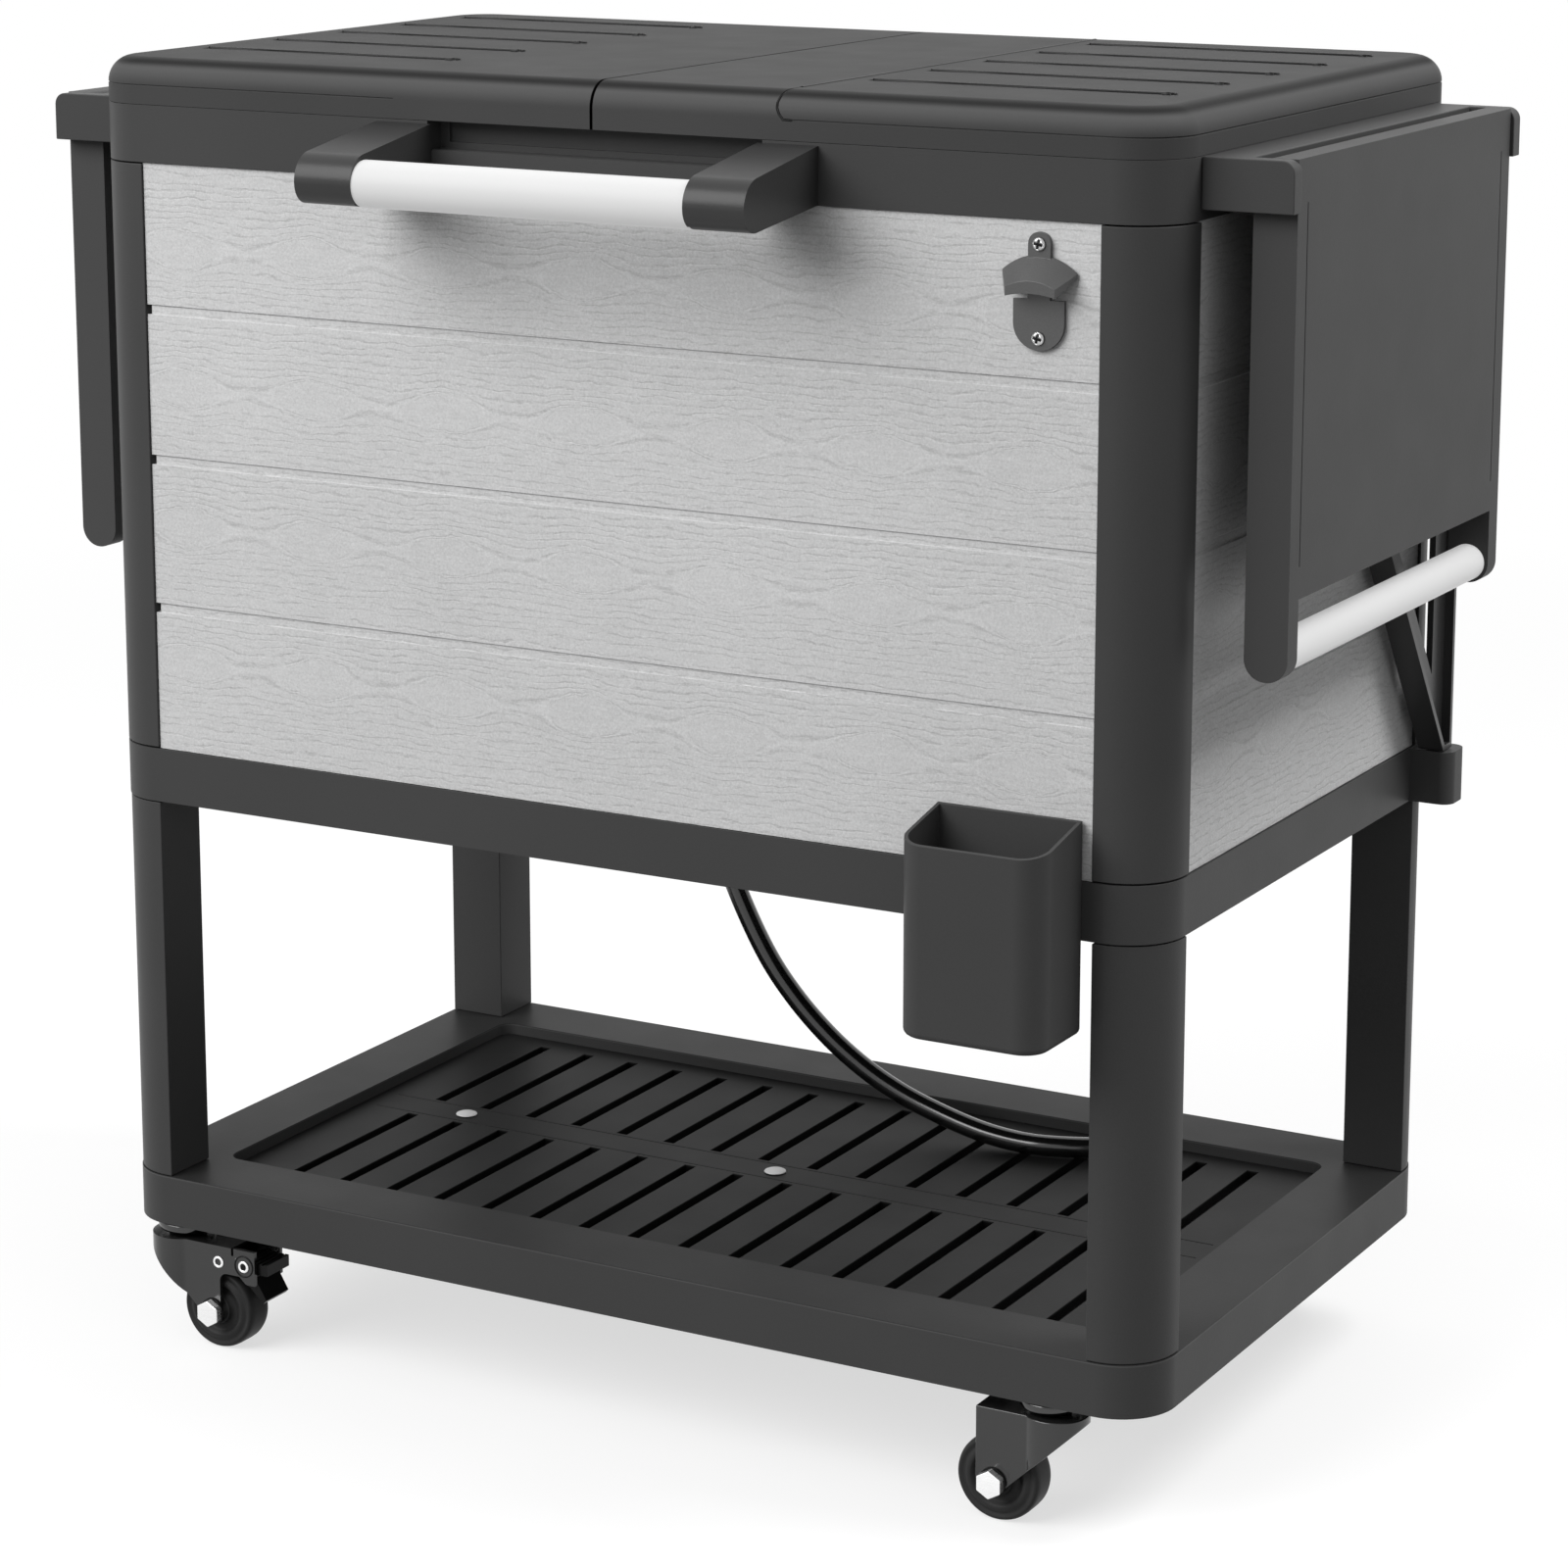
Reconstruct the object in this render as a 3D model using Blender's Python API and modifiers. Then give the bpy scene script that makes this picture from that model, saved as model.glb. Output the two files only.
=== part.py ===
"""Rolling patio cooler: an insulated box with two lids on a wheeled frame with a slatted shelf,
a folding table at each end, a front handle, a bottle opener, a catch bin and a drain hose.

Units are metres and +Z is up. The front looks towards -Y and left is -X. The origin is on the
floor, under the middle of the object's bounding box.
"""

import math

import bmesh
import bpy
from mathutils import Matrix, Vector
from mathutils.geometry import interpolate_bezier

# Driving sizes of the whole cooler
BODY_WIDTH = 0.714
BODY_DEPTH = 0.424
BODY_CORNER_RADIUS = 0.035
CASTER_HEIGHT = 0.080
BASE_HEIGHT = 0.032
LEG_HEIGHT = 0.2437
BAND_HEIGHT = 0.0336
PANEL_HEIGHT = 0.3617
RIM_HEIGHT = 0.0344
LID_SKIRT_HEIGHT = 0.0116
LID_CAP_HEIGHT = 0.016

# Clearances and cuts
FIT = 0.0003
LOOSE_FIT = 0.0005
OVERRUN = 0.004

# Corner posts and legs
POST_SIDE = 0.0405
POST_WALL = 0.003
TENON_HEIGHT = 0.012

# Base tray and its shelf
TRAY_RIM_WIDTH = 0.048
TRAY_WALL = 0.0035
TRAY_CORNER_RADIUS = 0.010
SHELF_DROP = 0.0075
SHELF_THICKNESS = 0.006
SHELF_LEDGE = 0.012
SHELF_BEAM_WIDTH = 0.030
CASTER_BLOCK_LENGTH = 0.105
SLOT_COUNT = 16
FIRST_SLOT_MARGIN = 0.0435
SLOT_WIDTH = 0.0085
SLOT_END_MARGIN = 0.0155
SHELF_RIB_WIDTH = 0.026
SHELF_SCREW_MARGIN = 0.075
SHELF_SCREW_RADIUS = 0.0072
SHELF_SCREW_HEIGHT = 0.0012
SHELF_SCREW_SHANK_RADIUS = 0.0022
SHELF_SCREW_LENGTH = 0.012

# Mid band
BAND_WALL = 0.012
BAND_PLATE = 0.004

# Panels
PANEL_THICKNESS = 0.006
PANEL_INSET = 0.0015
BOARD_COUNT = 4
GROOVE_HEIGHT = 0.006
GROOVE_DEPTH = 0.002

# Liner and foam
FOAM_UNDER_LINER = 0.025
LINER_SIDE_MARGIN = 0.034
LINER_WALL = 0.003
LINER_CORNER_RADIUS = 0.030
RIM_LIP = 0.0055
RIM_LIP_HEIGHT = 0.0094
RIM_WALL = 0.004
RECESS_HALF_WIDTH = 0.1105
RECESS_DEPTH = 0.014
RECESS_HEIGHT = 0.0164

# Lids
LID_SEAM = 0.0014
LID_CAP_INSET = 0.0012
LID_ROUND = 0.0155
LID_SHELL = 0.004
LID_EDGE_WIDTH = 0.046
LID_PLUG_DROP = 0.008
LID_PLUG_ROUND = 0.018
CAP_LINE_X = 0.1215
CAP_LINE_WIDTH = 0.0016
CAP_LINE_DEPTH = 0.001
LID_SLOT_COUNT = 5
LID_SLOT_PITCH = 0.0718
LID_SLOT_START_X = 0.134
LID_SLOT_END_X = 0.3175
LID_SLOT_WIDTH = 0.0028
LID_SLOT_DEPTH = 0.0016
LID_SLOT_SHIFT_Y = 0.014

# Lid hinges, with pins moulded on the rim
HINGE_SET_BACK = 0.007
KNUCKLE_RADIUS = 0.0055
HINGE_PIN_RADIUS = 0.0026
KNUCKLE_LENGTH = 0.040
HINGE_LUG_LENGTH = 0.012
HINGE_FROM_SEAM = 0.060
HINGE_FROM_SIDE = 0.080
HINGE_WEB_DEPTH = 0.010

# Front handle
HANDLE_REACH = 0.083
HANDLE_NOSE_RADIUS = 0.01435
HANDLE_NOSE_DROP = 0.0149
ARM_WIDTH = 0.038
ARM_GAP_HALF = 0.1078
ARM_TOP_DROP = 0.0015
BAR_RADIUS = 0.0135
BAR_SPIGOT_RADIUS = 0.009
BAR_SPIGOT_LENGTH = 0.014

# Side tables and their brackets
TABLE_FROM_END = 0.049
TABLE_THICKNESS = 0.0255
TABLE_STANDOFF = 0.0258
TABLE_DROP = 0.285
TABLE_SLAB_LENGTH = 0.240
TABLE_RAIL_WIDTH = 0.014
TABLE_SKIN = 0.004
TABLE_EDGE = 0.004
TABLE_HEAD = 0.026
TABLE_BAR_RADIUS = 0.011
TABLE_BAR_SPIGOT_RADIUS = 0.006
TABLE_BAR_SPIGOT_LENGTH = 0.008
TABLE_PIN_RADIUS = 0.003
TABLE_PIN_LENGTH = 0.008
BRACKET_HEIGHT = 0.0285
BRACKET_EAR = 0.0107
BRACKET_REACH = 0.0022
BRACKET_ROUND = 0.007

# Gates that hold a raised table
GATE_THICKNESS = 0.0164
GATE_OFFSET = 0.0132
GATE_PIVOT_FROM_END = 0.0037
GATE_BACK_EDGE = 0.0085
GATE_FRONT_EDGE = 0.0055
GATE_REACH = 0.2625
GATE_FLANGE = 0.0035
GATE_WEB = 0.004
GATE_WEB_BORDER = 0.022
GATE_PIN_RADIUS = 0.0022
GATE_PIN_LENGTH = 0.012
GATE_BLOCK_REACH = 0.027
GATE_BLOCK_FRONT = 0.0065
GATE_BLOCK_BACK = 0.0195
GATE_BLOCK_ROUND = 0.008

# Bottle opener
OPENER_FROM_POST = 0.0355
OPENER_BELOW_RIM = 0.0062
OPENER_HEIGHT = 0.0641
OPENER_PLATE_WIDTH = 0.0305
OPENER_EAR_WIDTH = 0.0134
OPENER_NECK_LENGTH = 0.0365
OPENER_THICKNESS = 0.0025
OPENER_HOOD_SHEET = 0.0026
OPENER_HOOD_REACH = 0.0138
OPENER_HOOD_HALF_WIDTH = 0.0232
OPENER_HOOD_TOP_DROP = 0.0113
OPENER_HOOD_BOTTOM_DROP = 0.023
OPENER_HOOD_ARCH = 0.0093
OPENER_LIP_HALF_WIDTH = 0.0148
OPENER_LIP_TOP_DROP = 0.0252
OPENER_LIP_BOTTOM_DROP = 0.032
OPENER_LIP_ARCH = 0.0037
OPENER_SCREW_INSET = 0.0066
OPENER_SCREW_RADIUS = 0.004
OPENER_SCREW_HEIGHT = 0.0018
OPENER_SHANK_RADIUS = 0.0017
OPENER_SCREW_LENGTH = 0.0075
OPENER_CROSS_WIDTH = 0.0011
OPENER_CROSS_LENGTH = 0.0044

# Catch bin
BIN_FROM_POST = 0.0055
BIN_WIDTH = 0.0885
BIN_DEPTH = 0.053
BIN_BACK_HEIGHT = 0.122
BIN_FRONT_HEIGHT = 0.1105
BIN_BELOW_BAND = 0.054
BIN_WALL = 0.0022
BIN_ROUND = 0.016
BIN_FOOT_ROUND = 0.004
BIN_LUG_SPREAD = 0.044
BIN_LUG_NECK_RADIUS = 0.0025
BIN_LUG_HEAD_RADIUS = 0.0050
BIN_LUG_HEAD_LENGTH = 0.002
BIN_LIFT = 0.0135

# Drain
DRAIN_X = -0.108
DRAIN_FROM_BACK = 0.112
DRAIN_FLANGE_RADIUS = 0.015
DRAIN_FLANGE_HEIGHT = 0.0025
DRAIN_TUBE_RADIUS = 0.0085
DRAIN_BARB_RADIUS = 0.0058
DRAIN_NUT_RADIUS = 0.013
DRAIN_NUT_HEIGHT = 0.007
DRAIN_BARB_LENGTH = 0.010
DRAIN_BORE_RADIUS = 0.0035
HOSE_RADIUS = 0.0068

# Casters
CASTER_FROM_LEFT = 0.037
CASTER_FROM_RIGHT = 0.070
CASTER_FROM_FRONT = 0.020
CASTER_TRAIL = 0.029
WHEEL_RADIUS = 0.026
WHEEL_WIDTH = 0.022
WHEEL_ROUND = 0.003
WHEEL_HUB_RADIUS = 0.010
WHEEL_DISH_RADIUS = 0.019
WHEEL_DISH_DEPTH = 0.003
STEM_RADIUS = 0.0049
STEM_LENGTH = 0.018
RACEWAY_RADIUS = 0.0185
RACEWAY_HEIGHT = 0.0066
RACEWAY_COLLAR_RADIUS = 0.012
RACEWAY_COLLAR_HEIGHT = 0.0026
KINGPIN_RADIUS = 0.004
KINGPIN_HEAD_RADIUS = 0.0065
KINGPIN_HEAD_HEIGHT = 0.0017
FORK_SHEET = 0.0025
FORK_WHEEL_CLEARANCE = 0.0015
FORK_NOSE_RADIUS = 0.0195
FORK_NOSE_SHIFT = 0.0035
FORK_NOSE_DEPTH = 0.005
FORK_TAIL = 0.0115
BRAKED_FORK_TAIL = 0.006
FORK_FOOT = 0.0025
FORK_FOOT_DROP = 0.008
AXLE_RADIUS = 0.004
HEX_ACROSS_FLATS = 0.015
HEX_HEIGHT = 0.0055
WASHER_RADIUS = 0.0085
WASHER_HEIGHT = 0.001
BRAKE_PIVOT_OUT = 0.0538
BRAKE_PIVOT_DROP = 0.0104
BRAKE_PLATE_END = 0.062
BRAKE_PLATE_HEIGHT = 0.019
BRAKE_RIVET_RADIUS = 0.004
BRAKE_RIVET_HEIGHT = 0.001
BRAKE_FIXED_RIVET_OUT = 0.0345
PEDAL_TOP = 0.0024
PEDAL_INNER = 0.0045
PEDAL_OUTER = 0.0155
PEDAL_LIP = 0.0074
PEDAL_LIP_LENGTH = 0.007
PEDAL_ARM_OUT = 0.0123
PEDAL_ARM_DROP = 0.0233
PEDAL_ARM_SHEET = 0.0033
PEDAL_ARM_START = 0.0085
PEDAL_SIDE_CLEARANCE = 0.0006

# Facets of round pieces
CORNER_SEGMENTS = 6
EDGE_SEGMENTS = 4
FOOT_SEGMENTS = 2
OPENER_HOOD_CUTS = 7
FORK_NOSE_STEPS = 14
ROUND_STEPS = 20
SMALL_STEPS = 16
PIN_STEPS = 12
HEX_SIDES = 6
BEVEL_PROFILE_SHARE = 0.5
MERGE_DISTANCE = 0.00001

# Levels up the cooler
BASE_BOTTOM = CASTER_HEIGHT
BASE_TOP = BASE_BOTTOM + BASE_HEIGHT
BAND_BOTTOM = BASE_TOP + LEG_HEIGHT
BAND_TOP = BAND_BOTTOM + BAND_HEIGHT
RIM_BOTTOM = BAND_TOP + PANEL_HEIGHT
RIM_TOP = RIM_BOTTOM + RIM_HEIGHT
SKIRT_TOP = RIM_TOP + LID_SKIRT_HEIGHT
LID_TOP = SKIRT_TOP + LID_CAP_HEIGHT
SHELF_TOP = BASE_TOP - SHELF_DROP
SHELF_BOTTOM = SHELF_TOP - SHELF_THICKNESS
LINER_BOTTOM = BAND_TOP + FOAM_UNDER_LINER
LINER_TOP = RIM_TOP - RIM_LIP_HEIGHT - FIT

# Planes of the body
HINGE_REACH = HINGE_SET_BACK + KNUCKLE_RADIUS
MIDDLE_Y = (HANDLE_REACH - HINGE_REACH) / 2
HALF_WIDTH = BODY_WIDTH / 2
HALF_DEPTH = BODY_DEPTH / 2
FRONT_Y = MIDDLE_Y - HALF_DEPTH
BACK_Y = MIDDLE_Y + HALF_DEPTH
TABLE_HALF_DEPTH = HALF_DEPTH - TABLE_FROM_END
POST_INNER_X = HALF_WIDTH - POST_SIDE
POST_INNER_Y = HALF_DEPTH - POST_SIDE
SHELF_HALF_X = HALF_WIDTH - TRAY_RIM_WIDTH
SHELF_HALF_Y = HALF_DEPTH - TRAY_RIM_WIDTH
SLOT_PITCH = 2 * (SHELF_HALF_X - FIRST_SLOT_MARGIN) / (SLOT_COUNT - 1)
SHELF_SCREW_PITCH = SHELF_HALF_X - SHELF_SCREW_MARGIN
LINER_HALF_X = HALF_WIDTH - LINER_SIDE_MARGIN
LINER_HALF_Y = HALF_DEPTH - LINER_SIDE_MARGIN
OPENING_HALF_X = LINER_HALF_X - RIM_LIP
OPENING_HALF_Y = LINER_HALF_Y - RIM_LIP
PANEL_FACE = FRONT_Y + PANEL_INSET

# Route of the drain hose: across from the drain, back from the body's middle, up from the base
HOSE_POINTS = (
    (-0.1075, 0.1000, 0.262),
    (-0.1020, 0.1000, 0.222),
    (-0.0860, 0.1003, 0.178),
    (-0.0640, 0.1005, 0.1365),
    (-0.0420, 0.1010, 0.1080),
    (-0.0160, 0.1020, 0.0835),
    (0.0100, 0.1040, 0.0648),
    (0.0360, 0.1055, 0.0516),
    (0.0620, 0.1070, 0.0423),
    (0.0870, 0.1080, 0.0356),
    (0.1080, 0.1085, 0.0325),
    (0.1300, 0.1090, 0.0317),
    (0.1520, 0.1150, 0.0317),
    (0.1700, 0.1240, 0.0317),
    (0.1850, 0.1350, 0.0317),
)

SIDES = (("left", -1), ("right", 1))
CORNERS = (
    ("front_left", -1, -1),
    ("front_right", 1, -1),
    ("back_left", -1, 1),
    ("back_right", 1, 1),
)


def start_scene():
    """Empties the scene and makes the two collections."""
    for item in list(bpy.data.objects):
        bpy.data.objects.remove(item, do_unlink=True)
    made = []
    for name in ("rolling_patio_cooler", "cutters"):
        collection = bpy.data.collections.new(name)
        bpy.context.scene.collection.children.link(collection)
        made.append(collection)
    return made


PARTS, CUTTERS = start_scene()


def surface(name, colour, roughness, metallic):
    """A Principled material."""
    made = bpy.data.materials.new(name)
    made.use_nodes = True
    shader = made.node_tree.nodes["Principled BSDF"]
    shader.inputs["Base Color"].default_value = (*colour, 1)
    shader.inputs["Roughness"].default_value = roughness
    shader.inputs["Metallic"].default_value = metallic
    return made


SURFACES = {
    "charcoal": surface("charcoal_plastic", (0.062, 0.062, 0.064), 0.55, 0),
    "table": surface("table_plastic", (0.075, 0.075, 0.077), 0.6, 0),
    "shelf": surface("shelf_plastic", (0.032, 0.032, 0.033), 0.55, 0),
    "wood": surface("grey_wood_look_panel", (0.48, 0.485, 0.49), 0.6, 0),
    "white": surface("white_bar", (0.86, 0.86, 0.86), 0.4, 0),
    "liner": surface("white_liner", (0.8, 0.8, 0.8), 0.45, 0),
    "foam": surface("insulation_foam", (0.8, 0.76, 0.6), 0.9, 0),
    "black": surface("black_steel", (0.02, 0.02, 0.021), 0.35, 0.6),
    "rubber": surface("black_rubber", (0.015, 0.015, 0.016), 0.3, 0),
    "wheel": surface("wheel_polymer", (0.03, 0.03, 0.032), 0.5, 0),
    "chrome": surface("bright_steel", (0.75, 0.75, 0.76), 0.2, 1),
    "opener": surface("opener_cast_metal", (0.09, 0.09, 0.093), 0.45, 0.7),
}


def smooth(mesh):
    """Smooth shading, with sharp edges kept."""
    mesh.shade_smooth()
    mesh.set_sharp_from_angle(angle=math.radians(32))


def add_object(name, mesh, kind):
    """A new object: a part with its material or, with no kind, a cutter."""
    made = bpy.data.objects.new(name, mesh)
    if kind is None:
        CUTTERS.objects.link(made)
        made.hide_render = True
        made.display_type = "WIRE"
    else:
        PARTS.objects.link(made)
        mesh.materials.append(SURFACES[kind])
    return made


def from_bmesh(name, bm, kind):
    mesh = bpy.data.meshes.new(name)
    bmesh.ops.recalc_face_normals(bm, faces=bm.faces)
    bm.to_mesh(mesh)
    bm.free()
    smooth(mesh)
    return add_object(name, mesh, kind)


def fill_box(bm, x, y, z):
    """Adds a box between two places on each axis, and gives its vertices."""
    size = Vector((x[1] - x[0], y[1] - y[0], z[1] - z[0]))
    middle = Vector((x[1] + x[0], y[1] + y[0], z[1] + z[0])) / 2
    placed = Matrix.Translation(middle) @ Matrix.Diagonal((*size, 1))
    return bmesh.ops.create_cube(bm, size=1, matrix=placed)["verts"]


def round_edges(bm, radius, segments, wanted):
    """Rounds the edges that a test of their middle and direction picks."""
    edges = []
    for edge in bm.edges:
        along = (edge.verts[1].co - edge.verts[0].co).normalized()
        if wanted((edge.verts[0].co + edge.verts[1].co) / 2, along):
            edges.append(edge)
    bmesh.ops.bevel(
        bm,
        geom=edges,
        offset=radius,
        segments=segments,
        profile=BEVEL_PROFILE_SHARE,
        affect="EDGES",
    )


def upright(along):
    return abs(along.z) > max(abs(along.x), abs(along.y))


def lengthways(along):
    """Whether an edge runs from front to back."""
    return abs(along.y) > max(abs(along.x), abs(along.z))


def box(name, x, y, z, kind=None):
    bm = bmesh.new()
    fill_box(bm, x, y, z)
    return from_bmesh(name, bm, kind)


def upright_round_box(name, x, y, z, radius, kind=None, segments=CORNER_SEGMENTS):
    """A box with its four upright edges rounded."""
    bm = bmesh.new()
    fill_box(bm, x, y, z)
    round_edges(bm, radius, segments, lambda middle, along: upright(along))
    return from_bmesh(name, bm, kind)


def body_ring_box(name, inset, z, radius, kind=None):
    """A box with the body's outline, drawn in on every side."""
    return upright_round_box(
        name,
        (-HALF_WIDTH + inset, HALF_WIDTH - inset),
        (FRONT_Y + inset, BACK_Y - inset),
        z,
        radius,
        kind,
    )


def boxes(name, spans):
    """One cutter made of several boxes that don't touch."""
    bm = bmesh.new()
    for x, y, z in spans:
        fill_box(bm, x, y, z)
    return from_bmesh(name, bm, None)


TURNED_TO = {
    "x": Matrix.Rotation(math.radians(90), 4, "Y"),
    "y": Matrix.Rotation(math.radians(-90), 4, "X"),
    "z": Matrix.Identity(4),
}


def rod(name, radius, axis, ends, at, kind=None, steps=ROUND_STEPS):
    """A cylinder along an axis, between two places on it. at holds its other two coordinates."""
    middle = (ends[0] + ends[1]) / 2
    place = {"x": (middle, *at), "y": (at[0], middle, at[1]), "z": (*at, middle)}[axis]
    bm = bmesh.new()
    bmesh.ops.create_cone(
        bm,
        cap_ends=True,
        segments=steps,
        radius1=radius,
        radius2=radius,
        depth=abs(ends[1] - ends[0]),
        matrix=Matrix.Translation(place) @ TURNED_TO[axis],
    )
    return from_bmesh(name, bm, kind)


def slim_rod(name, radius, axis, ends, at, kind=None):
    """A slim cylinder, with fewer facets."""
    return rod(name, radius, axis, ends, at, kind, PIN_STEPS)


def turned(name, profile, axis, place, kind, steps=ROUND_STEPS, ring=False):
    """A turned piece. The profile runs down its outer side, as pairs of radius and height."""
    mesh = bpy.data.meshes.new(name)
    bm = bmesh.new()
    points = [bm.verts.new((radius, 0, height)) for radius, height in profile]
    for first, second in zip(points, points[1:]):
        bm.edges.new((first, second))
    if ring:
        bm.edges.new((points[-1], points[0]))
    bm.to_mesh(mesh)
    bm.free()
    made = add_object(name, mesh, kind)
    screw = made.modifiers.new("turn", "SCREW")
    screw.steps = steps
    screw.render_steps = steps
    screw.use_merge_vertices = True
    screw.merge_threshold = MERGE_DISTANCE
    screw.use_smooth_shade = False
    made.matrix_world = Matrix.Translation(place) @ TURNED_TO[axis]
    return made


def cut(target, cutter):
    step = target.modifiers.new(cutter.name, "BOOLEAN")
    step.operation = "DIFFERENCE"
    step.solver = "EXACT"
    step.object = cutter


def join(target, piece):
    step = target.modifiers.new(piece.name, "BOOLEAN")
    step.operation = "UNION"
    step.solver = "EXACT"
    step.object = piece


def set_origin(part, place):
    """Puts the origin of an unturned part on its joint's axis, and leaves its shape where it is."""
    part.data.transform(Matrix.Translation(-Vector(place)))
    part.location = place


def mirrored_span(side, near, far):
    """The places from near to far, on the left or right."""
    return (near, far) if side > 0 else (-far, -near)


def post_spans(sx, sy, grow=0.0):
    """The square that a corner post stands on."""
    y_low, y_high = mirrored_span(sy, POST_INNER_Y - grow, HALF_DEPTH)
    return mirrored_span(sx, POST_INNER_X - grow, HALF_WIDTH), (MIDDLE_Y + y_low, MIDDLE_Y + y_high)


def corner_tube(name, sx, sy, z):
    """A hollow square post whose outer corner has the body's radius."""
    x, y = post_spans(sx, sy)
    middle = Vector(((x[0] + x[1]) / 2, (y[0] + y[1]) / 2, 0))

    def outer(where, along):
        return upright(along) and (where.x - middle.x) * sx > 0 and (where.y - middle.y) * sy > 0

    shell = bmesh.new()
    fill_box(shell, x, y, z)
    round_edges(shell, BODY_CORNER_RADIUS, CORNER_SEGMENTS, outer)
    bore = bmesh.new()
    fill_box(
        bore,
        (x[0] + POST_WALL, x[1] - POST_WALL),
        (y[0] + POST_WALL, y[1] - POST_WALL),
        (z[0] - OVERRUN, z[1] + OVERRUN),
    )
    round_edges(bore, BODY_CORNER_RADIUS - POST_WALL, CORNER_SEGMENTS, outer)
    made = from_bmesh(name, shell, "charcoal")
    cut(made, from_bmesh(name + "_bore", bore, None))
    return made


def tenons(target, z, tag):
    """Plugs that locate the corner posts, joined to what carries them."""
    inset = POST_WALL + LOOSE_FIT
    side = POST_SIDE - BODY_CORNER_RADIUS / 2 - inset
    for name, sx, sy in CORNERS:
        x, y = post_spans(sx, sy)
        x_in, y_in = (x[0] if sx > 0 else x[1]), (y[0] if sy > 0 else y[1])
        plug = box(
            f"{tag}_tenon_{name}",
            sorted((x_in + sx * inset, x_in + sx * side)),
            sorted((y_in + sy * inset, y_in + sy * side)),
            z,
        )
        join(target, plug)


def caster_place(name):
    """The swivel axis of a caster, and the way that its wheel trails."""
    trail = -1 if "right" in name else 1
    from_side = CASTER_FROM_RIGHT if trail < 0 else CASTER_FROM_LEFT
    x = -trail * (HALF_WIDTH - from_side)
    y = FRONT_Y + CASTER_FROM_FRONT if "front" in name else BACK_Y - CASTER_FROM_FRONT
    return x, y, trail


def make_base():
    tray = body_ring_box("base_tray", 0, (BASE_BOTTOM, BASE_TOP), BODY_CORNER_RADIUS, "charcoal")
    recess = upright_round_box(
        "shelf_recess",
        (-SHELF_HALF_X, SHELF_HALF_X),
        (MIDDLE_Y - SHELF_HALF_Y, MIDDLE_Y + SHELF_HALF_Y),
        (SHELF_BOTTOM - FIT, BASE_TOP + OVERRUN),
        TRAY_CORNER_RADIUS,
    )
    cut(tray, recess)
    inner_x, inner_y = SHELF_HALF_X - SHELF_LEDGE, SHELF_HALF_Y - SHELF_LEDGE
    under = (BASE_BOTTOM + TRAY_WALL, SHELF_TOP)
    bays = []
    for side in (-1, 1):
        low, high = mirrored_span(side, SHELF_BEAM_WIDTH / 2, inner_y)
        bays.append(((-inner_x, inner_x), (MIDDLE_Y + low, MIDDLE_Y + high), under))
    cut(tray, boxes("shelf_bays", bays))
    hollow = (BASE_BOTTOM - OVERRUN, BASE_TOP - TRAY_WALL)
    long_x = HALF_WIDTH - CASTER_BLOCK_LENGTH
    troughs = []
    between_posts = POST_INNER_Y - TRAY_WALL
    for side in (-1, 1):
        low, high = mirrored_span(side, SHELF_HALF_Y + TRAY_WALL, HALF_DEPTH - TRAY_WALL)
        troughs.append(((-long_x, long_x), (MIDDLE_Y + low, MIDDLE_Y + high), hollow))
        across = mirrored_span(side, SHELF_HALF_X + TRAY_WALL, HALF_WIDTH - TRAY_WALL)
        troughs.append((across, (MIDDLE_Y - between_posts, MIDDLE_Y + between_posts), hollow))
    cut(tray, boxes("tray_troughs", troughs))
    for name, _, _ in CORNERS:
        x, y, _ = caster_place(name)
        socket = slim_rod(
            "stem_socket_" + name,
            STEM_RADIUS + FIT,
            "z",
            (BASE_BOTTOM - OVERRUN, BASE_BOTTOM + STEM_LENGTH + FIT),
            (x, y))
        cut(tray, socket)
    for index in range(3):
        hole = slim_rod(
            f"shelf_screw_hole_{index}",
            SHELF_SCREW_SHANK_RADIUS + FIT,
            "z",
            (SHELF_TOP - SHELF_SCREW_LENGTH - FIT, SHELF_TOP + OVERRUN),
            (shelf_screw_x(index), MIDDLE_Y))
        cut(tray, hole)
    tenons(tray, (BASE_TOP - TRAY_WALL / 2, BASE_TOP + TENON_HEIGHT), "base")


def shelf_screw_x(index):
    return (index - 1) * SHELF_SCREW_PITCH


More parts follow.
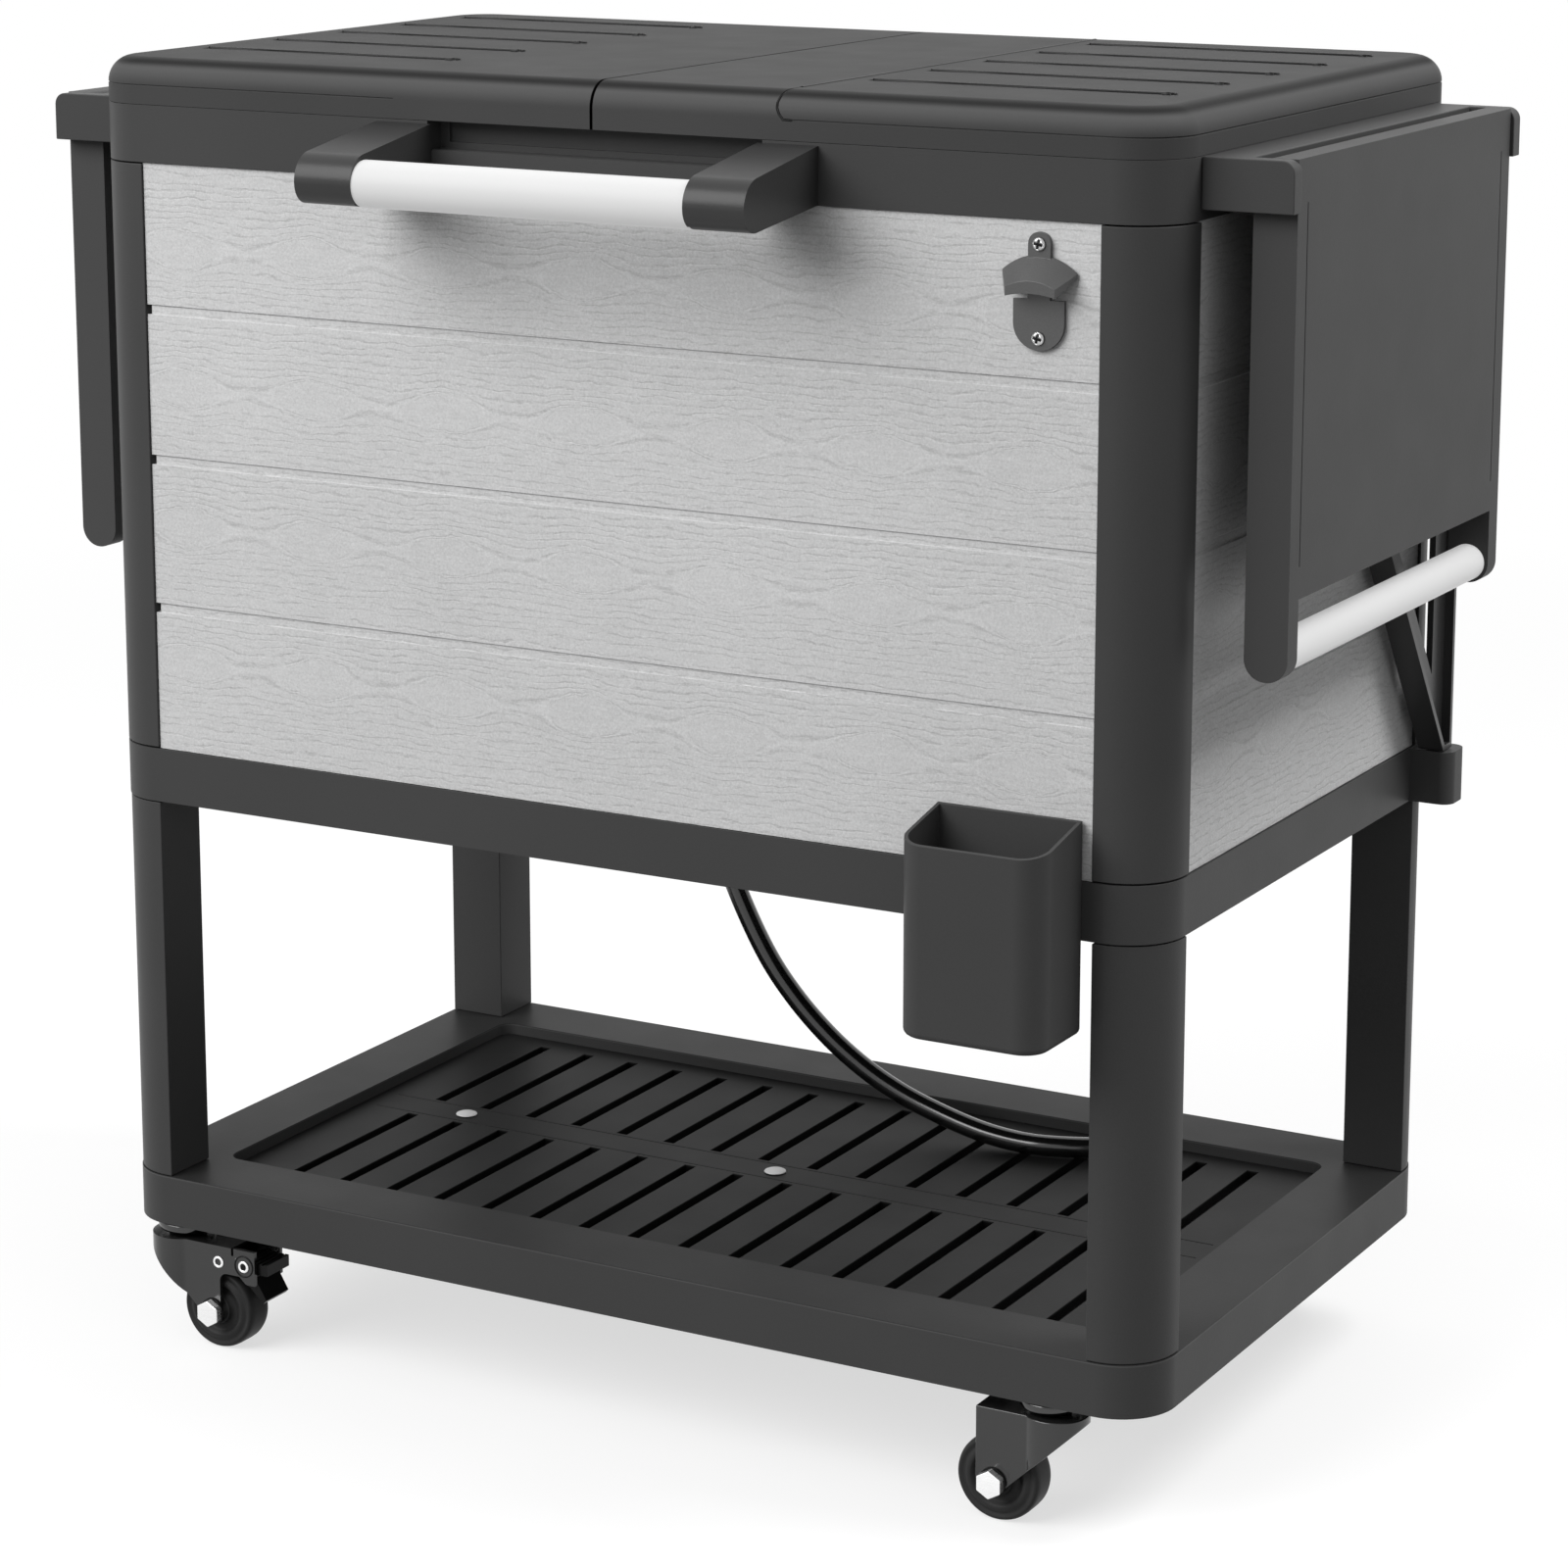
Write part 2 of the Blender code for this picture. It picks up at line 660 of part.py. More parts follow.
def make_shelf():
    grate = upright_round_box(
        "shelf_grate",
        (-SHELF_HALF_X + FIT, SHELF_HALF_X - FIT),
        (MIDDLE_Y - SHELF_HALF_Y + FIT, MIDDLE_Y + SHELF_HALF_Y - FIT),
        (SHELF_BOTTOM, SHELF_TOP),
        TRAY_CORNER_RADIUS,
        "shelf",
    )
    slots = []
    through = (SHELF_BOTTOM - OVERRUN, SHELF_TOP + OVERRUN)
    for index in range(SLOT_COUNT):
        middle = (index - (SLOT_COUNT - 1) / 2) * SLOT_PITCH
        for side in (-1, 1):
            low, high = mirrored_span(side, SHELF_RIB_WIDTH / 2, SHELF_HALF_Y - SLOT_END_MARGIN)
            x = (middle - SLOT_WIDTH / 2, middle + SLOT_WIDTH / 2)
            slots.append((x, (MIDDLE_Y + low, MIDDLE_Y + high), through))
    cut(grate, boxes("shelf_slots", slots))
    for index, place in enumerate(("left", "middle", "right")):
        x = shelf_screw_x(index)
        reach = (SHELF_BOTTOM - OVERRUN, SHELF_TOP + OVERRUN)
        hole = slim_rod("grate_hole_" + place, SHELF_SCREW_SHANK_RADIUS + FIT, "z", reach, (x, MIDDLE_Y))
        cut(grate, hole)
        turned(
            "shelf_screw_" + place,
            (
                (0, FIT + SHELF_SCREW_HEIGHT),
                (SHELF_SCREW_RADIUS - SHELF_SCREW_HEIGHT, FIT + SHELF_SCREW_HEIGHT),
                (SHELF_SCREW_RADIUS, FIT),
                (SHELF_SCREW_SHANK_RADIUS, FIT),
                (SHELF_SCREW_SHANK_RADIUS, -SHELF_SCREW_LENGTH),
                (0, -SHELF_SCREW_LENGTH),
            ),
            "z",
            (x, MIDDLE_Y, SHELF_TOP),
            "chrome",
            steps=PIN_STEPS,
        )


def make_legs_and_posts():
    for name, sx, sy in CORNERS:
        corner_tube("leg_" + name, sx, sy, (BASE_TOP + FIT, BAND_BOTTOM - FIT))
        corner_tube("corner_post_" + name, sx, sy, (BAND_TOP + FIT, RIM_BOTTOM - FIT))


def bin_middle_x():
    return POST_INNER_X - BIN_FROM_POST - BIN_WIDTH / 2


def bin_lug_z():
    return BAND_BOTTOM + BAND_HEIGHT / 2


def make_band():
    band = body_ring_box("mid_band", 0, (BAND_BOTTOM, BAND_TOP), BODY_CORNER_RADIUS, "charcoal")
    hollow = (BAND_BOTTOM - OVERRUN, BAND_TOP - BAND_PLATE)
    wide_x, wide_y = HALF_WIDTH - BAND_WALL, HALF_DEPTH - BAND_WALL
    for name, half_x, half_y in (("across", wide_x, POST_INNER_Y), ("along", POST_INNER_X, wide_y)):
        spans = ((-half_x, half_x), (MIDDLE_Y - half_y, MIDDLE_Y + half_y), hollow)
        cut(band, box("band_hollow_" + name, *spans))
    tenons(band, (BAND_BOTTOM - TENON_HEIGHT, BAND_BOTTOM + BAND_PLATE), "band_under")
    tenons(band, (BAND_TOP - BAND_PLATE / 2, BAND_TOP + TENON_HEIGHT), "band_over")
    for side_name, side in SIDES:
        pivot_y = gate_pivot_y()
        block = bmesh.new()
        fill_box(
            block,
            mirrored_span(side, HALF_WIDTH - BAND_WALL / 2, HALF_WIDTH + GATE_BLOCK_REACH),
            (pivot_y - GATE_BLOCK_FRONT, pivot_y + GATE_BLOCK_BACK),
            (BAND_BOTTOM + FIT, BAND_TOP - FIT),
        )
        edge_x = side * (HALF_WIDTH + GATE_BLOCK_REACH)

        def outer(where, along, edge_x=edge_x):
            return upright(along) and abs(where.x - edge_x) < FIT

        round_edges(block, GATE_BLOCK_ROUND, EDGE_SEGMENTS, outer)
        join(band, from_bmesh("gate_block_" + side_name, block, None))
        socket = slim_rod(
            "gate_socket_" + side_name,
            GATE_PIN_RADIUS + FIT,
            "z",
            (BAND_TOP - GATE_PIN_LENGTH - FIT, BAND_TOP + OVERRUN),
            (gate_pivot_x(side), pivot_y))
        cut(band, socket)
    hole = rod(
        "band_drain_hole",
        DRAIN_TUBE_RADIUS + FIT,
        "z",
        (BAND_TOP - BAND_PLATE - OVERRUN, BAND_TOP + OVERRUN),
        (DRAIN_X, drain_y()),
    )
    cut(band, hole)
    neck_end = FRONT_Y - LOOSE_FIT - BIN_WALL - LOOSE_FIT
    for side_name, side in SIDES:
        at = (bin_middle_x() + side * BIN_LUG_SPREAD / 2, bin_lug_z())
        neck = slim_rod(
            "bin_lug_neck_" + side_name,
            BIN_LUG_NECK_RADIUS,
            "y",
            (FRONT_Y + BAND_WALL / 2, neck_end - BIN_LUG_HEAD_LENGTH / 2),
            at)
        head = slim_rod(
            "bin_lug_head_" + side_name,
            BIN_LUG_HEAD_RADIUS,
            "y",
            (neck_end, neck_end - BIN_LUG_HEAD_LENGTH),
            at)
        join(band, neck)
        join(band, head)


def groove_levels():
    """The bottom of each groove between two boards."""
    pitch = (PANEL_HEIGHT + GROOVE_HEIGHT) / BOARD_COUNT
    return [BAND_TOP + pitch * index - GROOVE_HEIGHT for index in range(1, BOARD_COUNT)]


def make_panel(name, x, y, grooves):
    """A grey panel of boards, with the grooves between them cut in its outer face."""
    panel = box(name, x, y, (BAND_TOP + FIT, RIM_BOTTOM - FIT), "wood")
    spans = [(*grooves, (low, low + GROOVE_HEIGHT)) for low in groove_levels()]
    cut(panel, boxes(name + "_grooves", spans))
    return panel


def make_panels():
    wide = (-POST_INNER_X + FIT, POST_INNER_X - FIT)
    deep = (MIDDLE_Y - POST_INNER_Y + FIT, MIDDLE_Y + POST_INNER_Y - FIT)
    past_wide = (wide[0] - OVERRUN, wide[1] + OVERRUN)
    past_deep = (deep[0] - OVERRUN, deep[1] + OVERRUN)
    inner = PANEL_INSET + PANEL_THICKNESS
    for name, side in (("panel_front", -1), ("panel_back", 1)):
        low, high = mirrored_span(side, HALF_DEPTH - inner, HALF_DEPTH - PANEL_INSET)
        cut_low, cut_high = mirrored_span(side, HALF_DEPTH - PANEL_INSET - GROOVE_DEPTH, HALF_DEPTH + OVERRUN)
        groove = (past_wide, (MIDDLE_Y + cut_low, MIDDLE_Y + cut_high))
        panel = make_panel(name, wide, (MIDDLE_Y + low, MIDDLE_Y + high), groove)
        if side < 0:
            for place, z in opener_screw_levels():
                ends = (PANEL_FACE - OVERRUN, PANEL_FACE + PANEL_THICKNESS + OVERRUN)
                hole = slim_rod("panel_hole_" + place, OPENER_SHANK_RADIUS + FIT, "y", ends, (opener_x(), z))
                cut(panel, hole)
    for side_name, side in SIDES:
        x = mirrored_span(side, HALF_WIDTH - inner, HALF_WIDTH - PANEL_INSET)
        groove_x = mirrored_span(side, HALF_WIDTH - PANEL_INSET - GROOVE_DEPTH, HALF_WIDTH + OVERRUN)
        make_panel("panel_" + side_name, x, deep, (groove_x, past_deep))


def make_foam():
    outer = PANEL_INSET + PANEL_THICKNESS + LOOSE_FIT
    foam = box(
        "insulation_foam",
        (-HALF_WIDTH + outer, HALF_WIDTH - outer),
        (FRONT_Y + outer, BACK_Y - outer),
        (BAND_TOP + FIT, RIM_BOTTOM - FIT),
        "foam",
    )
    for name, sx, sy in CORNERS:
        x_near, x_far = mirrored_span(sx, POST_INNER_X - LOOSE_FIT, HALF_WIDTH + OVERRUN)
        y_near, y_far = mirrored_span(sy, POST_INNER_Y - LOOSE_FIT, HALF_DEPTH + OVERRUN)
        tall = (BAND_TOP - OVERRUN, RIM_BOTTOM + OVERRUN)
        cut(foam, box("foam_corner_" + name, (x_near, x_far), (MIDDLE_Y + y_near, MIDDLE_Y + y_far), tall))
    hollow = upright_round_box(
        "foam_hollow",
        (-LINER_HALF_X - LOOSE_FIT, LINER_HALF_X + LOOSE_FIT),
        (MIDDLE_Y - LINER_HALF_Y - LOOSE_FIT, MIDDLE_Y + LINER_HALF_Y + LOOSE_FIT),
        (LINER_BOTTOM - FIT, RIM_BOTTOM + OVERRUN),
        LINER_CORNER_RADIUS,
    )
    cut(foam, hollow)
    reach = (BAND_TOP - OVERRUN, LINER_BOTTOM + OVERRUN)
    cut(foam, rod("foam_drain_hole", DRAIN_TUBE_RADIUS + FIT, "z", reach, (DRAIN_X, drain_y())))
    room = OPENER_SHANK_RADIUS + OPENER_CROSS_WIDTH
    for place, z in opener_screw_levels():
        ends = (FRONT_Y, PANEL_FACE + OPENER_SCREW_LENGTH + OVERRUN)
        cut(foam, slim_rod("foam_hole_" + place, room, "y", ends, (opener_x(), z)))


def make_liner():
    liner = upright_round_box(
        "liner",
        (-LINER_HALF_X, LINER_HALF_X),
        (MIDDLE_Y - LINER_HALF_Y, MIDDLE_Y + LINER_HALF_Y),
        (LINER_BOTTOM, LINER_TOP),
        LINER_CORNER_RADIUS,
        "liner",
    )
    half_x, half_y = LINER_HALF_X - LINER_WALL, LINER_HALF_Y - LINER_WALL
    hollow = upright_round_box(
        "liner_hollow",
        (-half_x, half_x),
        (MIDDLE_Y - half_y, MIDDLE_Y + half_y),
        (LINER_BOTTOM + LINER_WALL, LINER_TOP + OVERRUN),
        LINER_CORNER_RADIUS - LINER_WALL,
    )
    cut(liner, hollow)
    reach = (LINER_BOTTOM - OVERRUN, LINER_BOTTOM + LINER_WALL + OVERRUN)
    cut(liner, rod("liner_drain_hole", DRAIN_TUBE_RADIUS + FIT, "z", reach, (DRAIN_X, drain_y())))


def hinge_y():
    return BACK_Y + HINGE_SET_BACK


def hinge_spans():
    """The knuckles of each lid along the hinge axis."""
    near = HINGE_FROM_SEAM
    far = HALF_WIDTH - HINGE_FROM_SIDE - KNUCKLE_LENGTH
    return [(near, near + KNUCKLE_LENGTH), (far, far + KNUCKLE_LENGTH)]


def make_rim():
    rim = body_ring_box("rim", 0, (RIM_BOTTOM, RIM_TOP), BODY_CORNER_RADIUS, "charcoal")
    opening = upright_round_box(
        "rim_opening",
        (-OPENING_HALF_X, OPENING_HALF_X),
        (MIDDLE_Y - OPENING_HALF_Y, MIDDLE_Y + OPENING_HALF_Y),
        (RIM_BOTTOM - OVERRUN, RIM_TOP + OVERRUN),
        LINER_CORNER_RADIUS - RIM_LIP,
    )
    cut(rim, opening)
    rebate = upright_round_box(
        "rim_rebate",
        (-LINER_HALF_X - LOOSE_FIT, LINER_HALF_X + LOOSE_FIT),
        (MIDDLE_Y - LINER_HALF_Y - LOOSE_FIT, MIDDLE_Y + LINER_HALF_Y + LOOSE_FIT),
        (RIM_BOTTOM - OVERRUN, LINER_TOP + FIT),
        LINER_CORNER_RADIUS,
    )
    cut(rim, rebate)
    floor = RIM_TOP - RECESS_HEIGHT
    recess = ((-RECESS_HALF_WIDTH, RECESS_HALF_WIDTH), (FRONT_Y - OVERRUN, FRONT_Y + RECESS_DEPTH))
    cut(rim, boxes("finger_recess", [(*recess, (floor, RIM_TOP + OVERRUN))]))
    hollow = (RIM_BOTTOM - OVERRUN, floor - RIM_WALL)
    troughs = []
    between_posts = POST_INNER_Y - RIM_WALL
    for side in (-1, 1):
        low, high = mirrored_span(side, LINER_HALF_Y + RIM_WALL, HALF_DEPTH - RIM_WALL)
        along = (-POST_INNER_X + RIM_WALL, POST_INNER_X - RIM_WALL)
        troughs.append((along, (MIDDLE_Y + low, MIDDLE_Y + high), hollow))
        across = mirrored_span(side, LINER_HALF_X + RIM_WALL, HALF_WIDTH - RIM_WALL)
        troughs.append((across, (MIDDLE_Y - between_posts, MIDDLE_Y + between_posts), hollow))
    cut(rim, boxes("rim_troughs", troughs))
    axis_y, axis_z = hinge_y(), RIM_TOP
    lug_depth = (BACK_Y - RIM_WALL, axis_y)
    for side_name, side in SIDES:
        for index, (near, far) in enumerate(hinge_spans()):
            tag = f"{side_name}_{index}"
            ends = mirrored_span(side, near - HINGE_LUG_LENGTH / 2, far + HINGE_LUG_LENGTH / 2)
            pin = slim_rod("rim_pin_" + tag, HINGE_PIN_RADIUS, "x", ends, (axis_y, axis_z))
            for end, low, high in (
                ("near", near - HINGE_LUG_LENGTH, near - LOOSE_FIT),
                ("far", far + LOOSE_FIT, far + HINGE_LUG_LENGTH),
            ):
                span = mirrored_span(side, low, high)
                lug = slim_rod(f"rim_lug_{tag}_{end}", KNUCKLE_RADIUS, "x", span, (axis_y, axis_z))
                web_x = (span[0] + FIT, span[1] - FIT)
                web = box(f"rim_web_{tag}_{end}", web_x, lug_depth, (axis_z - HINGE_WEB_DEPTH, axis_z - FIT))
                join(rim, web)
                join(rim, lug)
            join(rim, pin)


def lid_cap_block(name, side):
    """The rounded upper part of a half lid."""
    bm = bmesh.new()
    x = mirrored_span(side, LID_SEAM / 2, HALF_WIDTH - LID_CAP_INSET)
    y = (FRONT_Y + LID_CAP_INSET, BACK_Y - LID_CAP_INSET)
    fill_box(bm, x, y, (SKIRT_TOP - LID_SKIRT_HEIGHT / 2, LID_TOP))
    round_edges(
        bm,
        BODY_CORNER_RADIUS - LID_CAP_INSET,
        CORNER_SEGMENTS,
        lambda where, along: upright(along) and abs(where.x) > HALF_WIDTH / 2,
    )
    round_edges(
        bm,
        LID_ROUND,
        EDGE_SEGMENTS,
        lambda where, along: where.z > LID_TOP - FIT and abs(where.x) > LID_SEAM,
    )
    return from_bmesh(name, bm, None)


def make_lid(side_name, side):
    name = "lid_" + side_name
    skirt = bmesh.new()
    x = mirrored_span(side, LID_SEAM / 2, HALF_WIDTH)
    fill_box(skirt, x, (FRONT_Y, BACK_Y), (RIM_TOP + FIT, SKIRT_TOP))
    round_edges(
        skirt,
        BODY_CORNER_RADIUS,
        CORNER_SEGMENTS,
        lambda where, along: upright(along) and abs(where.x) > HALF_WIDTH / 2,
    )
    lid = from_bmesh(name, skirt, "charcoal")
    join(lid, lid_cap_block(name + "_cap", side))
    plug_x = mirrored_span(side, LID_SEAM / 2 + LID_SHELL, HALF_WIDTH - LID_EDGE_WIDTH)
    plug_y = (FRONT_Y + LID_EDGE_WIDTH, BACK_Y - LID_EDGE_WIDTH)
    hollow_z = (RIM_TOP - OVERRUN, LID_TOP - LID_SHELL)
    cut(lid, upright_round_box(name + "_hollow", plug_x, plug_y, hollow_z, LID_PLUG_ROUND))
    top_slot = (LID_TOP - LID_SLOT_DEPTH, LID_TOP + OVERRUN)
    slots = []
    for index in range(LID_SLOT_COUNT):
        y = MIDDLE_Y + LID_SLOT_SHIFT_Y + (index - (LID_SLOT_COUNT - 1) / 2) * LID_SLOT_PITCH
        span = mirrored_span(side, LID_SLOT_START_X, LID_SLOT_END_X)
        slots.append((span, (y - LID_SLOT_WIDTH / 2, y + LID_SLOT_WIDTH / 2), top_slot))
    line_x = mirrored_span(side, CAP_LINE_X, CAP_LINE_X + CAP_LINE_WIDTH)
    line_y = (FRONT_Y + LID_ROUND, BACK_Y - LID_ROUND)
    slots.append((line_x, line_y, (LID_TOP - CAP_LINE_DEPTH, LID_TOP + OVERRUN)))
    cut(lid, boxes(name + "_slots", slots))
    axis_y, axis_z = hinge_y(), RIM_TOP
    for index, (near, far) in enumerate(hinge_spans()):
        span = mirrored_span(side, near, far)
        tag = f"{side_name}_{index}"
        join(lid, slim_rod("lid_knuckle_" + tag, KNUCKLE_RADIUS, "x", span, (axis_y, axis_z)))
        web_z = (RIM_TOP + FIT, SKIRT_TOP - FIT)
        join(lid, box("lid_web_" + tag, span, (BACK_Y - LID_SHELL, axis_y), web_z))
        past = (span[0] - OVERRUN, span[1] + OVERRUN)
        bore = slim_rod("lid_bore_" + tag, HINGE_PIN_RADIUS + FIT, "x", past, (axis_y, axis_z))
        cut(lid, bore)
    set_origin(lid, (0, axis_y, axis_z))

    insert = upright_round_box(
        "lid_liner_" + side_name,
        (plug_x[0] + FIT, plug_x[1] - FIT),
        (plug_y[0] + FIT, plug_y[1] - FIT),
        (RIM_TOP - LID_PLUG_DROP, LID_TOP - LID_SHELL - FIT),
        LID_PLUG_ROUND - FIT,
        "liner",
    )
    set_origin(insert, (0, axis_y, axis_z))


def handle_nose():
    """Where the handle bar's axis lies: its place from front to back, and its height."""
    y = FRONT_Y - HANDLE_REACH + HANDLE_NOSE_RADIUS
    z = RIM_TOP - ARM_TOP_DROP - HANDLE_NOSE_DROP - HANDLE_NOSE_RADIUS + ARM_TOP_DROP
    return y, z


def make_handle():
    nose_y, nose_z = handle_nose()
    top, bottom = nose_z + HANDLE_NOSE_RADIUS, nose_z - HANDLE_NOSE_RADIUS
    for side_name, side in SIDES:
        bm = bmesh.new()
        x = mirrored_span(side, ARM_GAP_HALF, ARM_GAP_HALF + ARM_WIDTH)
        tip = nose_y - HANDLE_NOSE_RADIUS
        for vert in fill_box(bm, x, (tip, FRONT_Y - FIT), (bottom, top)):
            at_root = vert.co.y > nose_y
            if at_root and vert.co.z > nose_z:
                vert.co.z = RIM_TOP - ARM_TOP_DROP
            elif at_root:
                vert.co.z = RIM_BOTTOM + FIT
        round_edges(
            bm,
            HANDLE_NOSE_RADIUS - FIT,
            CORNER_SEGMENTS,
            lambda where, along: where.y < tip + FIT and abs(along.x) > abs(along.z),
        )
        arm = from_bmesh("handle_arm_" + side_name, bm, "charcoal")
        depth = mirrored_span(side, ARM_GAP_HALF - OVERRUN, ARM_GAP_HALF + BAR_SPIGOT_LENGTH + FIT)
        socket = rod("bar_socket_" + side_name, BAR_SPIGOT_RADIUS + FIT, "x", depth, (nose_y, nose_z))
        cut(arm, socket)
    face, end = ARM_GAP_HALF - FIT, ARM_GAP_HALF + BAR_SPIGOT_LENGTH
    make_bar("handle_bar", BAR_RADIUS, BAR_SPIGOT_RADIUS, face, end, "x", (0, nose_y, nose_z))


def make_bar(name, radius, spigot_radius, face, end, axis, place):
    """A white bar with a spigot at each end."""
    turned(
        name,
        (
            (0, end),
            (spigot_radius, end),
            (spigot_radius, face),
            (radius, face),
            (radius, -face),
            (spigot_radius, -face),
            (spigot_radius, -end),
            (0, -end),
        ),
        axis,
        place,
        "white",
    )


def table_faces():
    """The inner and outer faces of a hanging table, measured from the middle of the cooler."""
    inner = HALF_WIDTH + TABLE_STANDOFF
    return inner, inner + TABLE_THICKNESS


def table_axis():
    """The fold axis of the tables: its distance out from the middle, and its height."""
    inner, outer = table_faces()
    return (inner + outer) / 2, RIM_TOP - TABLE_THICKNESS / 2


def make_table(side_name, side):
    inner, outer = table_faces()
    axis_x, axis_z = table_axis()
    slab_bottom = RIM_TOP - TABLE_SLAB_LENGTH
    rail_bottom = RIM_TOP - TABLE_DROP
    y = (MIDDLE_Y - TABLE_HALF_DEPTH, MIDDLE_Y + TABLE_HALF_DEPTH)
    bm = bmesh.new()
    fill_box(bm, mirrored_span(side, inner, outer), y, (rail_bottom, RIM_TOP))
    round_edges(
        bm,
        TABLE_THICKNESS / 2 - FIT,
        CORNER_SEGMENTS,
        lambda where, along: abs(along.y) > abs(along.x) and (where.z < rail_bottom + FIT),
    )
    round_edges(
        bm,
        TABLE_THICKNESS / 2 - FIT,
        CORNER_SEGMENTS,
        lambda where, along: (
            abs(along.y) > abs(along.z) and where.z > RIM_TOP - FIT and abs(abs(where.x) - inner) < FIT
        ),
    )
    table = from_bmesh("side_table_" + side_name, bm, "table")
    rails = (y[0] + TABLE_RAIL_WIDTH, y[1] - TABLE_RAIL_WIDTH)
    past = mirrored_span(side, inner - OVERRUN, outer + OVERRUN)
    cut(table, box("table_notch_" + side_name, past, rails, (rail_bottom - OVERRUN, slab_bottom)))
    pocket_x = mirrored_span(side, inner - OVERRUN, outer - TABLE_SKIN)
    pocket_z = (slab_bottom + TABLE_EDGE, RIM_TOP - TABLE_HEAD)
    cut(table, box("table_pocket_" + side_name, pocket_x, rails, pocket_z))
    for end, face in (("front", y[0]), ("back", y[1])):
        near, far = face - TABLE_PIN_LENGTH, face + TABLE_PIN_LENGTH
        pin_at = (side * axis_x, axis_z)
        join(table, slim_rod(f"table_pin_{side_name}_{end}", TABLE_PIN_RADIUS, "y", (near, far), pin_at))
    bar_z = rail_bottom + TABLE_THICKNESS / 2
    socket_ends = (rails[0] - TABLE_BAR_SPIGOT_LENGTH - FIT, rails[1] + TABLE_BAR_SPIGOT_LENGTH + FIT)
    bar_at = (side * axis_x, bar_z)
    socket_radius = TABLE_BAR_SPIGOT_RADIUS + FIT
    cut(table, rod("table_bar_socket_" + side_name, socket_radius, "y", socket_ends, bar_at))
    set_origin(table, (side * axis_x, MIDDLE_Y, axis_z))
    face = TABLE_HALF_DEPTH - TABLE_RAIL_WIDTH - FIT
    end = face + TABLE_BAR_SPIGOT_LENGTH
    place = (side * axis_x, MIDDLE_Y, bar_z)
    make_bar("table_bar_" + side_name, TABLE_BAR_RADIUS, TABLE_BAR_SPIGOT_RADIUS, face, end, "y", place)


def make_bracket(side_name, side):
    inner, outer = table_faces()
    axis_x, axis_z = table_axis()
    half = TABLE_HALF_DEPTH + FIT + BRACKET_EAR
    edge = outer + BRACKET_REACH
    bm = bmesh.new()
    z = (RIM_TOP - BRACKET_HEIGHT, RIM_TOP)
    fill_box(bm, mirrored_span(side, HALF_WIDTH + FIT, edge), (MIDDLE_Y - half, MIDDLE_Y + half), z)

    def outer_top(where, along):
        return lengthways(along) and where.z > z[1] - FIT and abs(where.x) > edge - FIT

    round_edges(bm, BRACKET_ROUND, EDGE_SEGMENTS, outer_top)
    bracket = from_bmesh("table_bracket_" + side_name, bm, "charcoal")
    gap_x = mirrored_span(side, inner - LOOSE_FIT, edge + OVERRUN)
    gap_y = (MIDDLE_Y - TABLE_HALF_DEPTH - FIT, MIDDLE_Y + TABLE_HALF_DEPTH + FIT)
    cut(bracket, box("bracket_gap_" + side_name, gap_x, gap_y, (z[0] - OVERRUN, z[1] + OVERRUN)))
    for end, way in (("front", -1), ("back", 1)):
        pin_end = TABLE_HALF_DEPTH + TABLE_PIN_LENGTH + LOOSE_FIT
        near, far = mirrored_span(way, TABLE_HALF_DEPTH - OVERRUN, pin_end)
        ends = (MIDDLE_Y + near, MIDDLE_Y + far)
        hole_at = (side * axis_x, axis_z)
        cut(bracket, slim_rod(f"ear_hole_{side_name}_{end}", TABLE_PIN_RADIUS + FIT, "y", ends, hole_at))
    top_socket = slim_rod(
        "gate_top_socket_" + side_name,
        GATE_PIN_RADIUS + FIT,
        "z",
        (z[0] - OVERRUN, z[0] + GATE_PIN_LENGTH + FIT),
        (gate_pivot_x(side), gate_pivot_y()))
    cut(bracket, top_socket)


def gate_pivot_x(side):
    return side * (HALF_WIDTH + GATE_OFFSET)


def gate_pivot_y():
    return MIDDLE_Y + TABLE_HALF_DEPTH + BRACKET_EAR - GATE_PIVOT_FROM_END


def gate_outline(inset):
    """The gate's three corners and its foot, drawn in by a border, as places from front to back and up."""
    low = BAND_TOP + LOOSE_FIT
    high = RIM_TOP - BRACKET_HEIGHT - LOOSE_FIT
    back = gate_pivot_y() + GATE_BACK_EDGE
    foot = gate_pivot_y() - GATE_FRONT_EDGE
    tip = gate_pivot_y() - GATE_REACH
    slope = (high - low) / (foot - tip)
    shift = inset * math.sqrt(1 + slope * slope) / slope
    top = high - inset

    def diagonal(z):
        return foot - (z - low) / slope + shift

    cross = low + (foot + shift - (back - inset)) * slope
    bottom = max(low + inset, cross)
    return back - inset, diagonal(bottom), diagonal(top), bottom, top


def gate_prism(name, inset, x, kind=None):
    """An upright slab with the outline of the gate."""
    back, foot, tip, low, high = gate_outline(inset)
    bm = bmesh.new()
    for vert in fill_box(bm, x, (tip, back), (low, high)):
        if vert.co.y < (tip + back) / 2 and vert.co.z < (low + high) / 2:
            vert.co.y = min(foot, back - FIT)
    return from_bmesh(name, bm, kind)


